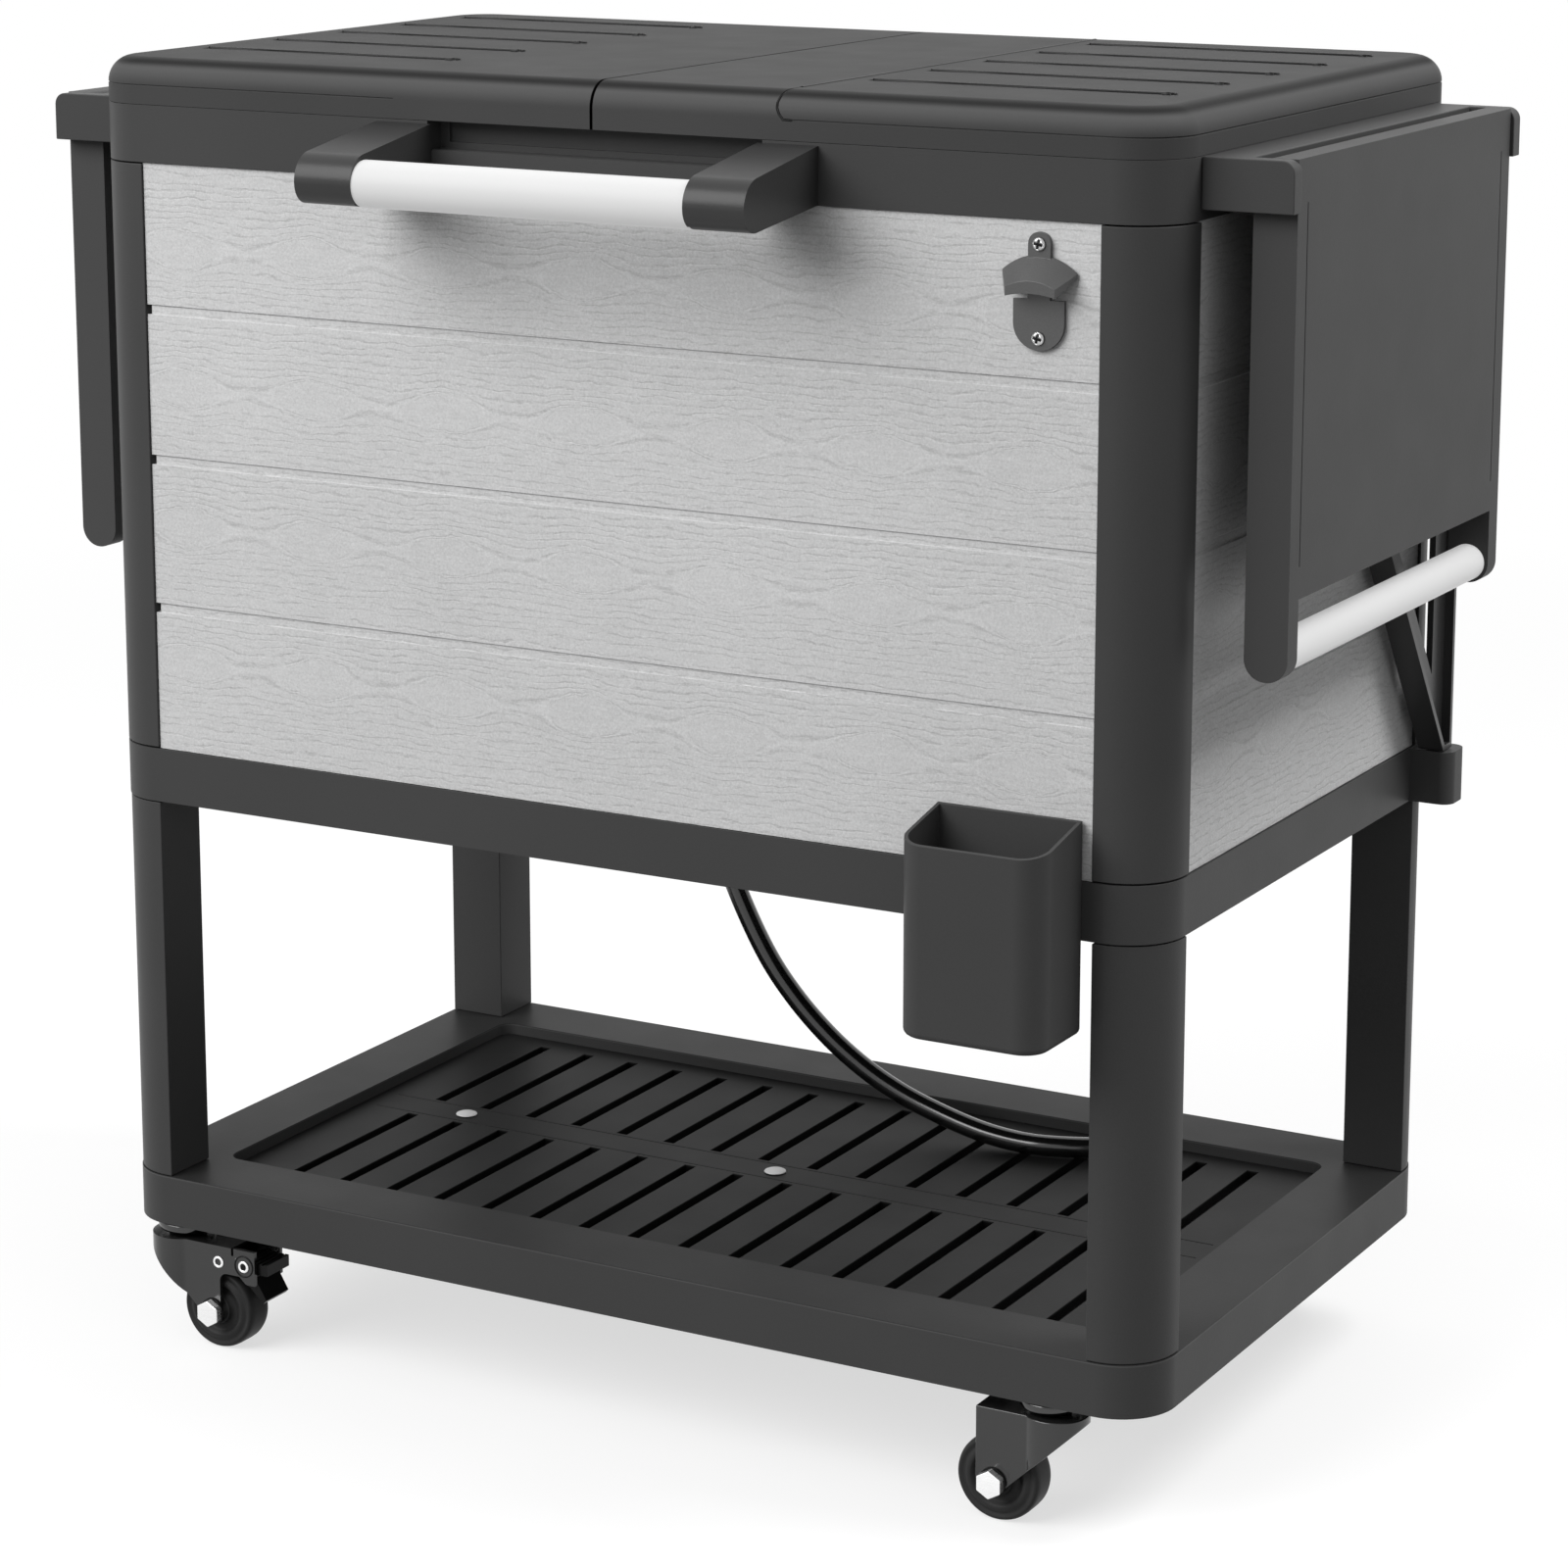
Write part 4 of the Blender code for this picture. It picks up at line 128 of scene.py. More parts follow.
class Signal:
    """A shader socket that sums and products can be written with."""

    def __init__(self, tree, socket):
        self.tree = tree
        self.socket = socket

    def make(self, kind, sockets=None, settings=None, out=0):
        """Adds a node, its settings first, then the values or links of its sockets."""
        made = self.tree.nodes.new(kind)
        for name, value in (settings or {}).items():
            if name == "stops":
                ramp = made.color_ramp.elements
                while len(ramp) < len(value):
                    ramp.new(1)
                for stop, (place, shade) in zip(ramp, value):
                    stop.position = place
                    stop.color = (shade, shade, shade, 1)
            else:
                setattr(made, name, value)
        for name, value in (sockets or {}).items():
            if isinstance(value, Signal):
                self.tree.links.new(value.socket, made.inputs[name])
            else:
                made.inputs[name].default_value = value
        return Signal(self.tree, made.outputs[out])

    def math(self, operation, *others):
        """A Math node with this signal first."""
        sockets = dict(enumerate((self, *others)))
        return self.make("ShaderNodeMath", sockets, {"operation": operation})

    def __add__(self, other):
        return self.math("ADD", other)

    def __sub__(self, other):
        return self.math("SUBTRACT", other)

    def __mul__(self, other):
        return self.math("MULTIPLY", other)

    def __truediv__(self, other):
        return self.math("DIVIDE", other)

    __radd__ = __add__
    __rmul__ = __mul__

    def scaled(self, x, y, z):
        return self.make("ShaderNodeVectorMath", {0: self, 1: (x, y, z)}, {"operation": "MULTIPLY"})

    def noise(self, scale, detail=2.0, rough=0.5):
        sockets = {"Vector": self, "Scale": scale, "Detail": detail, "Roughness": rough}
        return self.make("ShaderNodeTexNoise", sockets)

    def part(self, axis):
        """One coordinate of a vector."""
        return self.make("ShaderNodeSeparateXYZ", {"Vector": self}, out=axis)

    def ramp(self, *stops):
        return self.make("ShaderNodeValToRGB", {"Fac": self}, {"stops": stops})

    def between(self, low, high, warmth=0.0):
        """Runs from a low to a high display level of grey as this signal goes from 0 to 1."""
        return self.blend((*grey(low, warmth), 1), (*grey(high, warmth), 1))

    def blend(self, low, high):
        """As between, for colours with a fourth value and for colour signals."""
        sockets = {"Factor": self, 6: low, 7: high}
        return self.make("ShaderNodeMix", sockets, {"data_type": "RGBA"}, out=2)


def grey(level, warmth=0.0):
    """A near-neutral colour from a display level between 0 and 1."""
    value = level / 12.92 if level < 0.04045 else ((level + 0.055) / 1.055) ** 2.4
    return (value * (1 + warmth), value, value * (1 - warmth))


def start_finish(name, roughness, metallic=0.0, coat=0.0, specular=0.5):
    """A material, its shader's inputs and a signal that follows the piece's own coordinates."""
    material = bpy.data.materials.new(name)
    material.use_nodes = True
    tree = material.node_tree
    shader = tree.nodes["Principled BSDF"]
    constants = {
        "Roughness": roughness,
        "Metallic": metallic,
        "Coat Weight": coat,
        "Coat Roughness": 0.2,
        "Specular IOR Level": specular,
    }
    for socket, value in constants.items():
        shader.inputs[socket].default_value = value
    spot = tree.nodes.new("ShaderNodeTexCoord")
    return material, shader, Signal(tree, spot.outputs["Object"])


def feed(shader, **sockets):
    for name, signal in sockets.items():
        target = shader.inputs[name.replace("_", " ")]
        signal.tree.links.new(signal.socket, target)


def bumped(height, strength, distance):
    return height.make("ShaderNodeBump", {"Height": height, "Strength": strength, "Distance": distance})


def moulded_plastic(name, low, high, roughness, **looks):
    """Satin moulded plastic with a fine stipple. A shade, where one is given, paints light and shade into its
    tone from place to place.
    """
    coat, specular = looks.get("coat", 0.0), looks.get("specular", 0.1)
    material, shader, spot = start_finish(name, roughness, coat=coat, specular=specular)
    speck = spot.noise(900.0, 2.0)
    tone = (spot.noise(5.0, 3.0) * 0.7 + speck * 0.3).ramp((0.3, 0.0), (0.7, 1.0))
    tone = tone.between(low, high, looks.get("warmth", 0.0))
    feed(
        shader,
        Base_Color=looks["shade"](spot, tone) if "shade" in looks else tone,
        Roughness=roughness - 0.05 + spot.noise(22.0, 4.0) * 0.1,
        Normal=bumped(speck + spot.noise(260.0, 2.0) * 0.5, looks.get("stipple", 0.12), 0.0004),
    )
    return material


def by_height(level, depth, *stops):
    """Painted light and shade: scales the tone by the height above a level."""

    def shade(spot, tone):
        share = ((spot.part("Z") - level) * (1 / depth)).ramp(*stops) * 1.6
        return tone.make("ShaderNodeVectorMath", {0: tone, "Scale": share}, {"operation": "SCALE"})

    return shade


def lid_painted_light(spot, tone):
    """The lids' painted light: a darker top, a soft band of painted shade and a lighter painted highlight
    along the roll round their tops, and painted shade in the middle seam.
    """
    fall = (spot.part("Z") * -1 + LID_TOP) * (1 / 0.0155)
    # Painted shade: darkens the flat top and, more, a band where the top turns into the roll
    painted_crease_shade = fall.ramp((0.0, 0.33), (0.04, 0.48), (0.11, 0.68), (0.17, 0.66), (0.25, 0.25), (0.32, 0.0))
    # Painted highlight along the middle of the roll
    painted_roll_highlight = fall.ramp((0.24, 0.0), (0.37, 1.0), (0.60, 0.8), (0.95, 0.0))
    black = (0.003, 0.003, 0.003, 1)
    rolled = (painted_roll_highlight * 0.5).blend(painted_crease_shade.blend(tone, black), (0.105, 0.105, 0.105, 1))
    # Painted shade in the seam between the lids, black on their inner faces and a thin strip beside them
    seam = (spot.part("X").math("ABSOLUTE") * 500).ramp((0.45, 1.0), (0.56, 0.0))
    return seam.blend(rolled, black)


def wood_look(name, along):
    """Pale grey boards, embossed with thin broken lines that flow round a row of eyes on each board, each
    line with a painted highlight beside it.
    """
    material, shader, spot = start_finish(name, 0.6, specular=0.15)
    run, level = spot.part(along), spot.part("Z")
    sway = spot.scaled(34.0, 34.0, 75.0).noise(1.0, 2.0, 0.5) - 0.5
    shiver = spot.scaled(260.0, 260.0, 420.0).noise(1.0, 2.0, 0.6) - 0.5
    above = (level - 0.7 + sway * 0.008 + shiver * 0.0024).math("WRAP", 0.0425, -0.0425)
    beside = ((run + 0.008 + sway * 0.010) * (math.pi / 0.0943)).math("SINE") * 0.014
    apart = beside * beside + above * above
    flow = (above - above * EYE_HALF**2 / apart).math("ABSOLUTE") - 0.0012
    outside = (apart * (1 / EYE_HALF**2)).ramp((0.75, 0.0), (0.95, 1.0))
    turn = flow * (math.tau / 0.0049)
    breaks = spot.scaled(110.0, 110.0, 330.0).noise(1.0, 3.0, 0.65).ramp((0.36, 0.0), (0.58, 1.0)) * outside
    drawn = (turn.math("COSINE") * 0.5 + 0.5).ramp((0.70, 0.0), (0.97, 1.0)) * breaks
    # A painted highlight beside each drawn line, for light on the embossed relief
    painted_line_highlight = ((turn + 1.0).math("COSINE") * 0.5 + 0.5).ramp((0.88, 0.0), (0.99, 1.0)) * breaks
    speck = spot.noise(640.0, 4.0, 0.85)
    fibre = spot.scaled(70.0, 70.0, 520.0).noise(1.0, 3.0, 0.6)
    cloud = spot.noise(6.0, 3.0, 0.5)
    tone = speck * 1.5 + fibre * 0.40 + cloud * 0.25 - drawn * 0.27 + painted_line_highlight * 0.10 - 0.58
    feed(
        shader,
        Base_Color=tone.blend((*grey(0.68), 1), (*grey(0.88, -0.003), 1)),
        Roughness=0.55 + fibre * 0.2,
        Normal=bumped(speck * 0.7 + fibre * 0.2 - drawn * 0.6, 0.3, 0.0006),
    )
    return material


def brushed_metal(name, low, high, roughness, metallic):
    material, shader, spot = start_finish(name, roughness, metallic=metallic)
    streak = spot.scaled(40, 40, 900).noise(3.0, 3.0)
    cloud = spot.noise(60.0, 3.0)
    feed(
        shader,
        Base_Color=(cloud * 0.6 + streak * 0.4).ramp((0.3, 0.0), (0.7, 1.0)).between(low, high),
        Roughness=roughness + streak * 0.12,
        Normal=bumped(streak + cloud, 0.12, 0.0002),
    )
    return material


# Painted light: the tray's top is painted darker and a painted highlight runs along its edge just under it,
# and the shelf's slots are painted shade below its top
TRAY_PAINTED_LIGHT = by_height(BASE_TOP - 0.002, 0.002, (0.35, 0.625), (0.5, 0.95), (0.75, 0.95), (0.92, 0.30))
SHELF_PAINTED_SHADE = by_height(SHELF_TOP - 0.0012, 0.0008, (0.0, 0.05), (1.0, 0.625))

# Each plastic's name, its low and high display levels, its roughness and its other looks
PLASTICS = {
    "charcoal": ("charcoal_plastic", 0.245, 0.265, 0.45, {}),
    # The arms are a darker, glossier copy of the charcoal plastic: the darker colour is painted shade for
    # their tops
    "arm": ("handle_arm_plastic", 0.18, 0.20, 0.33, {"specular": 0.24}),
    "lid": ("lid_plastic", 0.26, 0.28, 0.45, {"specular": 0.015, "shade": lid_painted_light}),
    "table": ("table_plastic", 0.255, 0.275, 0.5, {}),
    "tray": ("tray_plastic", 0.245, 0.265, 0.45, {"shade": TRAY_PAINTED_LIGHT}),
    "shelf": ("shelf_plastic", 0.105, 0.13, 0.5, {"shade": SHELF_PAINTED_SHADE}),
    "inside": ("white_liner_plastic", 0.84, 0.87, 0.38, {"stipple": 0.05}),
    "white": ("white_bar_plastic", 0.62, 0.64, 0.4, {"stipple": 0.03}),
    "gate": ("gate_plastic", 0.16, 0.18, 0.32, {"specular": 0.35}),
    "foam": ("insulation_foam", 0.86, 0.91, 0.85, {"stipple": 0.4, "warmth": 0.04}),
    "steel": ("coated_steel", 0.11, 0.13, 0.2, {"stipple": 0.03, "specular": 0.6}),
    # Black brake steel, also the black of the small pieces of painted shade
    "black": ("black_brake_steel", 0.03, 0.05, 0.3, {"stipple": 0.04, "specular": 0.14}),
    "raceway": ("polished_raceway", 0.06, 0.08, 0.12, {"stipple": 0.02, "specular": 0.8}),
    "wheel": ("wheel_polymer", 0.175, 0.205, 0.42, {"stipple": 0.08}),
    "rubber": ("hose_rubber", 0.05, 0.085, 0.16, {"stipple": 0.03, "coat": 0.5, "specular": 0.5}),
    "drain": ("drain_plastic", 0.11, 0.14, 0.35, {"stipple": 0.05}),
    "opener": ("opener_powder_coat", 0.27, 0.30, 0.33, {"stipple": 0.3, "specular": 0.55}),
}
FINISHES = {finish: moulded_plastic(*form, **looks) for finish, (*form, looks) in PLASTICS.items()}
FINISHES["front_boards"] = wood_look("wood_look_front", "X")
FINISHES["side_boards"] = wood_look("wood_look_side", "Y")
FINISHES["bright"] = brushed_metal("bright_zinc", 0.92, 0.98, 0.2, 0.9)
FINISHES["screw"] = brushed_metal("screw_steel", 0.62, 0.76, 0.22, 0.9)
FINISHES["button"] = brushed_metal("button_steel", 0.86, 0.93, 0.45, 0.1)

# The white bars give off a little light though they are no lamp: painted light that lifts their shaded
# undersides, so they look only a little shaded
painted_glow = FINISHES["white"].node_tree.nodes["Principled BSDF"].inputs
painted_glow["Emission Color"].default_value = (1, 1, 1, 1)
painted_glow["Emission Strength"].default_value = 0.36


def blank(x, y, z, bm=None):
    """A box between two places on each axis."""
    bm = bm or bmesh.new()
    size = Matrix.Diagonal((x[1] - x[0], y[1] - y[0], z[1] - z[0], 1))
    middle = ((x[0] + x[1]) / 2, (y[0] + y[1]) / 2, (z[0] + z[1]) / 2)
    bmesh.ops.create_cube(bm, size=1, matrix=Matrix.Translation(middle) @ size)
    return bm


def block(inset, z, radius=CORNER_RADIUS, segments=14):
    """A box drawn in from the body's four planes, with its upright edges rounded."""
    return pillar(both(HALF_WIDTH - inset), around(HALF_DEPTH - inset), z, radius, segments)


def both(half):
    return (-half, half)


def around(half, middle=MIDDLE_Y):
    """Two places as far before and behind a middle, which is the body's own on Y if none is given."""
    return (middle - half, middle + half)


def through(low, high):
    """From a little before one place to a little past another."""
    return (low - PAST, high + PAST)


def quarter_turn(steps=8):
    """The sine and the cosine at even steps of a quarter turn."""
    turns = [math.radians(90 * step / steps) for step in range(steps + 1)]
    return [(math.sin(turn), math.cos(turn)) for turn in turns]


def rounded(bm, radius, segments, axis="", wanted=lambda where: True):
    """Rounds the edges along an axis, or along any, that a test of their middles picks."""
    picked = []
    for edge in bm.edges:
        first, second = edge.verts[0].co, edge.verts[1].co
        fits = not axis or abs(getattr((second - first).normalized(), axis)) > 0.9
        if fits and wanted((first + second) / 2):
            picked.append(edge)
    bmesh.ops.bevel(bm, geom=picked, offset=radius, segments=segments, profile=0.5, affect="EDGES")
    return bm


def pillar(x, y, z, radius, segments=10):
    """A box with its upright edges rounded."""
    return rounded(blank(x, y, z), radius, segments, "z")


def lying(axis):
    """Turns a piece made along Z so that it lies along an axis."""
    if axis == "x":
        return Matrix.Rotation(math.radians(90), 4, "Y")
    if axis == "y":
        return Matrix.Rotation(math.radians(-90), 4, "X")
    return Matrix.Identity(4)


def prism(outline, axis, ends):
    """A straight piece along Y or Z from its outline, in places on the other two axes."""
    bm = bmesh.new()
    rings = []
    for end in ends:
        ring = []
        for first, second in outline:
            ring.append(bm.verts.new((first, end, second) if axis == "y" else (first, second, end)))
        bm.faces.new(ring)
        rings.append(ring)
    near, far = rings
    for index in range(len(outline)):
        bm.faces.new((near[index - 1], near[index], far[index], far[index - 1]))
    return bm


def drum(radius, axis, ends, at, sides=48):
    """A round bar between two places along an axis."""
    middle = (ends[0] + ends[1]) / 2
    place = {"x": (middle, *at), "y": (at[0], middle, at[1]), "z": (*at, middle)}[axis]
    bm = bmesh.new()
    size = {"radius1": radius, "radius2": radius, "depth": abs(ends[1] - ends[0])}
    where = Matrix.Translation(place) @ lying(axis)
    bmesh.ops.create_cone(bm, cap_ends=True, segments=sides, matrix=where, **size)
    return bm


def spun(profile, axis, place, sides):
    """A turned form from pairs of radius and height, closed where the profile leaves the axis."""
    bm = bmesh.new()
    points = [bm.verts.new((radius, 0, height)) for radius, height in profile]
    line = [bm.edges.new(pair) for pair in zip(points, points[1:])]
    if profile[0][0] > 0:
        line.append(bm.edges.new((points[-1], points[0])))
    turn = {"cent": (0, 0, 0), "axis": (0, 0, 1), "angle": math.tau, "steps": sides}
    bmesh.ops.spin(bm, geom=line + points, use_merge=True, **turn)
    bmesh.ops.remove_doubles(bm, verts=bm.verts, dist=0.000005)
    bmesh.ops.transform(bm, matrix=Matrix.Translation(place) @ lying(axis), verts=bm.verts)
    return bm


def tube(points, radius, sides):
    """A round bar that follows points, as a form to cut or add."""
    curve = bpy.data.curves.new("tube", "CURVE")
    curve.dimensions = "3D"
    curve.bevel_depth = radius
    curve.bevel_resolution = sides // 4
    curve.use_fill_caps = True
    line = curve.splines.new("POLY")
    line.points.add(len(points) - 1)
    for point, place in zip(line.points, points):
        point.co = (*place, 1)
    holder = bpy.data.objects.new("tube", curve)
    bm = bmesh.new()
    bm.from_mesh(holder.to_mesh())
    bmesh.ops.remove_doubles(bm, verts=bm.verts, dist=0.000005)
    bpy.data.objects.remove(holder)
    bpy.data.curves.remove(curve)
    return bm


def as_object(name, bm):
    mesh = bpy.data.meshes.new(name)
    bmesh.ops.recalc_face_normals(bm, faces=bm.faces)
    bm.to_mesh(mesh)
    bm.free()
    made = bpy.data.objects.new(name, mesh)
    bpy.context.scene.collection.objects.link(made)
    return made


def settle(made):
    """Keeps the shape that the modifiers give, and drops the modifiers."""
    graph = bpy.context.evaluated_depsgraph_get()
    before = made.data
    made.data = bpy.data.meshes.new_from_object(made.evaluated_get(graph))
    made.modifiers.clear()
    bpy.data.meshes.remove(before)


def carve(made, forms, operation):
    for form in forms:
        tool = as_object("tool", form)
        step = made.modifiers.new("carve", "BOOLEAN")
        step.operation = operation
        step.solver = "EXACT"
        step.object = tool
        settle(made)
        bpy.data.objects.remove(tool)


def piece(name, bm, finish, node, edge=0.0, adds=(), cuts=(), body="cabinet", segments=3):
    """A finished piece that stands for a solid of the frame: joined, cut, and soft at its edges."""
    made = as_object(name, bm)
    carve(made, adds, "UNION")
    carve(made, cuts, "DIFFERENCE")
    weld = made.modifiers.new("weld", "WELD")
    weld.merge_threshold = 0.00002
    if edge:
        soften = made.modifiers.new("edges", "BEVEL")
        soften.width = edge
        soften.segments = segments
        soften.limit_method = "ANGLE"
        soften.angle_limit = math.radians(38)
        soften.use_clamp_overlap = True
    settle(made)
    made.data.shade_smooth()
    level = made.modifiers.new("shading", "WEIGHTED_NORMAL")
    level.keep_sharp = True
    settle(made)
    made.data.materials.clear()
    made.data.materials.append(FINISHES[finish])
    if node:
        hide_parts(node)
    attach(made, body)
    return made


def shading(name, bm, body="cabinet", adds=(), cuts=(), finish="black", edge=0.0):
    """A small piece that stands for no solid of the frame: a black lining, sheet or ring of painted shade, a
    black washer or a bright rivet ring.
    """
    made = piece(name, bm, finish, None, edge, adds, cuts, body)


def refinish(node, finish):
    """Gives a solid of the frame that keeps its shape a better material."""
    target = bpy.data.objects[node].data.materials
    for index in range(len(target)):
        target[index] = FINISHES[finish]
    if not target:
        target.append(FINISHES[finish])


def to_side(side, near, far, middle=0.0):
    """Two places out from a middle, to its left or right, in rising order."""
    return (middle + near, middle + far) if side > 0 else (middle - far, middle - near)


def lay_hose():
    """The drain hose: down from the drain, round in one bend and along the shelf."""
    start = Vector((*DRAIN_AT, 0.3683))
    places = (
        (-0.1075, 0.1000, 0.262), (-0.1020, 0.1000, 0.222), (-0.0860, 0.1003, 0.178),
        (-0.0640, 0.1005, 0.1365), (-0.0420, 0.1010, 0.1080), (-0.0160, 0.1020, 0.0835),
        (0.0100, 0.1040, 0.0648), (0.0360, 0.1055, 0.0516), (0.0620, 0.1070, 0.0423),
        (0.0870, 0.1080, 0.0356), (0.1080, 0.1085, 0.0325), (0.1300, 0.1090, 0.0317),
        (0.1520, 0.1150, 0.0317), (0.1700, 0.1240, 0.0317), (0.1850, 0.1350, 0.0317),
    )
    points = [start] + [Vector(place) + Vector((0, MIDDLE_Y, BASE_BOTTOM)) for place in places]
    neighbours = zip([points[0], *points], [*points[1:], points[-1]])
    slopes = [(after - before) / 2 for before, after in neighbours]
    slopes[0] = Vector((0, 0, -slopes[0].length))
    route = []
    for index in range(len(points) - 1):
        first, second = points[index], points[index + 1]
        bend = (first + slopes[index] / 3, second - slopes[index + 1] / 3)
        route += interpolate_bezier(first, *bend, second, 9)[:-1]
    route.append(points[-1])
    hose = as_object("drain_hose_tube", tube(route, 0.0068, 24))
    end = route[-1] - route[-9]
    bore = tube([route[-1] - end * 1.2, route[-1] + end * 0.5], 0.0042, 16)
    carve(hose, [bore], "DIFFERENCE")
    hose.data.shade_smooth()
    hose.data.set_sharp_from_angle(angle=math.radians(40))
    hose.data.materials.clear()
    hose.data.materials.append(FINISHES["rubber"])
    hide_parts("drain_hose")
    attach(hose, "cabinet")


def cap_edge(under=0.0):
    """The right cap's inner edge, from the back of the top down its front roll, at a depth under the face."""
    roll = LID_TOP - SKIRT_TOP
    reach = roll - under
    edge = [Vector((0.1215, y, LID_TOP - under)) for y in (BACK_Y - roll, FRONT_Y + roll + 0.01)]
    for step in range(9):
        turn = math.radians(90 * step / 8)
        bow = 0.1215 - 0.0035 * math.sin(turn) + 0.0125 * max(0, turn - 0.9) ** 2
        y, z = FRONT_Y + roll - reach * math.sin(turn), SKIRT_TOP + reach * math.cos(turn)
        edge.append(Vector((bow, y, z)))
    edge.append(Vector((0.1290, FRONT_Y + under, SKIRT_TOP - 0.0002)))
    return edge


def cap_lines(side):
    """The thin line where a lid's cap meets its skirt, and the deeper one at the right cap's inner edge."""
    radius, corner_x = CORNER_RADIUS, HALF_WIDTH - CORNER_RADIUS
    turns = quarter_turn(14)
    plan = [(0.134, FRONT_Y), (corner_x, FRONT_Y)]
    plan += [(corner_x + radius * sine, FRONT_Y + radius - radius * cosine) for sine, cosine in turns[1:]]
    plan += [(corner_x + radius * cosine, BACK_Y - radius + radius * sine) for sine, cosine in turns]
    plan.append((0.134, BACK_Y))
    route = [(side * x, y, SKIRT_TOP) for x, y in plan]
    if side < 0:
        return [tube(route, 0.0006, 8)]
    edge = cap_edge()
    return [tube([edge[-1], *route], 0.0006, 8), tube(edge[:2], 0.0018, 8), tube(edge[1:], 0.0009, 8)]


def line_slot(name, x, y, body):
    """A black lining of painted shade inside a slot and its pit, as two walls and a floor."""
    wall = blank(x, (y + 0.0031, y + 0.0040), (LID_TOP - 0.0025, LID_TOP + 0.0007))
    floor = blank(x, (y - 0.0039, y + 0.0033), (LID_TOP - 0.0026, LID_TOP - 0.0018))
    pit = drum(0.0048, "z", (LID_TOP - 0.0036, LID_TOP + 0.0007), (x[1], y), 24)
    inner = drum(0.0040, "z", (LID_TOP - 0.0028, LID_TOP + PAST), (x[1], y), 24)
    bed = (x[0] + 0.001, x[1] + 0.004)
    room = blank(bed, (y - 0.0039, y + 0.0031), (LID_TOP - 0.0018, LID_TOP + PAST))
    shading(name, pit, body, [wall, floor], [inner, room])


def vent_slot(x, y):
    """A narrow slot that ends in a small pit at the right."""
    slot = blank(x, around(0.0038, y), (LID_TOP - 0.0024, LID_TOP + PAST))
    pit = drum(0.0046, "z", (LID_TOP - 0.0034, LID_TOP + PAST), (x[1], y), 20)
    return slot, pit


def make_lid(side_name, side):
    shell = blank(to_side(side, 0.0007, HALF_WIDTH), (FRONT_Y, BACK_Y), (RIM_TOP + FIT, LID_TOP))
    roll = LID_TOP - SKIRT_TOP - 0.0002
    rounded(shell, CORNER_RADIUS, 16, "z", lambda where: abs(where.x) > 0.1)
    rounded(shell, roll, 10, wanted=lambda where: where.z > LID_TOP - FIT and abs(where.x) > 0.01)
    inside = to_side(side, 0.0047, HALF_WIDTH - 0.046)
    hollow = pillar(inside, around(HALF_DEPTH - 0.046), (RIM_TOP - PAST, LID_TOP - 0.004), 0.018)
    cuts = [hollow, *cap_lines(side)]
    run = (0.134, 0.3175) if side > 0 else (-0.328, -0.147)
    for place in LID_SLOTS:
        cuts += vent_slot(run, place)
    adds = []
    for near in HINGES_X:
        span = to_side(side, near, near + HINGE_LENGTH)
        adds.append(drum(HINGE_RADIUS, "x", span, HINGE_AXIS, 32))
        web_x, web_z = (span[0] + FIT, span[1] - FIT), (RIM_TOP + 2 * FIT, SKIRT_TOP - 0.002)
        adds.append(blank(web_x, HINGE_WEB_Y, web_z))
        cuts.append(drum(0.0029, "x", through(*span), HINGE_AXIS, 24))
    node = "lid_" + side_name
    piece("lid_shell_" + side_name, shell, "lid", node, 0.0005, adds, cuts, node)
    for index, place in enumerate(LID_SLOTS, 1):
        line_slot(f"slot_shade_{side_name}_{index}", run, place, node)
    if side > 0:
        # A black tube of painted shade lines the deep groove at the right cap's inner edge
        line = cap_edge(0.0006)
        shading("cap_shade", tube(line[:2], 0.0011, 8), node, [tube(line[1:], 0.0005, 8)])


def make_rim():
    ring = block(0, (RIM_BOTTOM, RIM_TOP))
    floor, over = RIM_TOP - 0.0164, RIM_TOP + PAST
    cuts = [
        block(0.0395, through(RIM_BOTTOM, RIM_TOP), 0.0245, 12),
        block(0.0335, (RIM_BOTTOM - PAST, RIM_TOP - 0.0094), 0.030, 12),
        blank(both(0.1105), (FRONT_Y - PAST, FRONT_Y + 0.014), (floor, over)),
        blank(both(0.1045), (FRONT_Y + 0.0125, FRONT_Y + 0.0165), (floor + 0.0035, over)),
        blank(both(0.1085), (FRONT_Y + 0.0030, FRONT_Y + 0.0042), (floor - 0.0012, floor + 0.001)),
    ]
    adds = []
    for _, side in SIDES:
        for near in HINGES_X:
            far = near + HINGE_LENGTH
            for low, high in ((near - 0.012, near - 0.0005), (far + 0.0005, far + 0.012)):
                span = to_side(side, low, high)
                web_x = (span[0] + FIT, span[1] - FIT)
                adds.append(blank(web_x, HINGE_WEB_Y, (RIM_TOP - 0.010, RIM_TOP - FIT)))
                adds.append(drum(HINGE_RADIUS, "x", span, HINGE_AXIS, 32))
            adds.append(drum(0.0026, "x", to_side(side, near - 0.006, far + 0.006), HINGE_AXIS, 24))
    piece("rim_ring", ring, "charcoal", "rim", 0.0006, adds, cuts)


def make_post(name, node, sx, sy, z, inset):
    """A square post whose outer corner has the body's radius."""
    x = to_side(sx, POST_X + inset, HALF_WIDTH - inset)
    y = to_side(sy, POST_Y + inset, HALF_DEPTH - inset, MIDDLE_Y)

    def outer(where):
        return abs(where.x) > POST_X + 0.02 and abs(where.y - MIDDLE_Y) > POST_Y + 0.02

    post = rounded(blank(x, y, z), CORNER_RADIUS - inset, 16, "z", outer)
    piece(name, post, "charcoal", node, 0.0006)


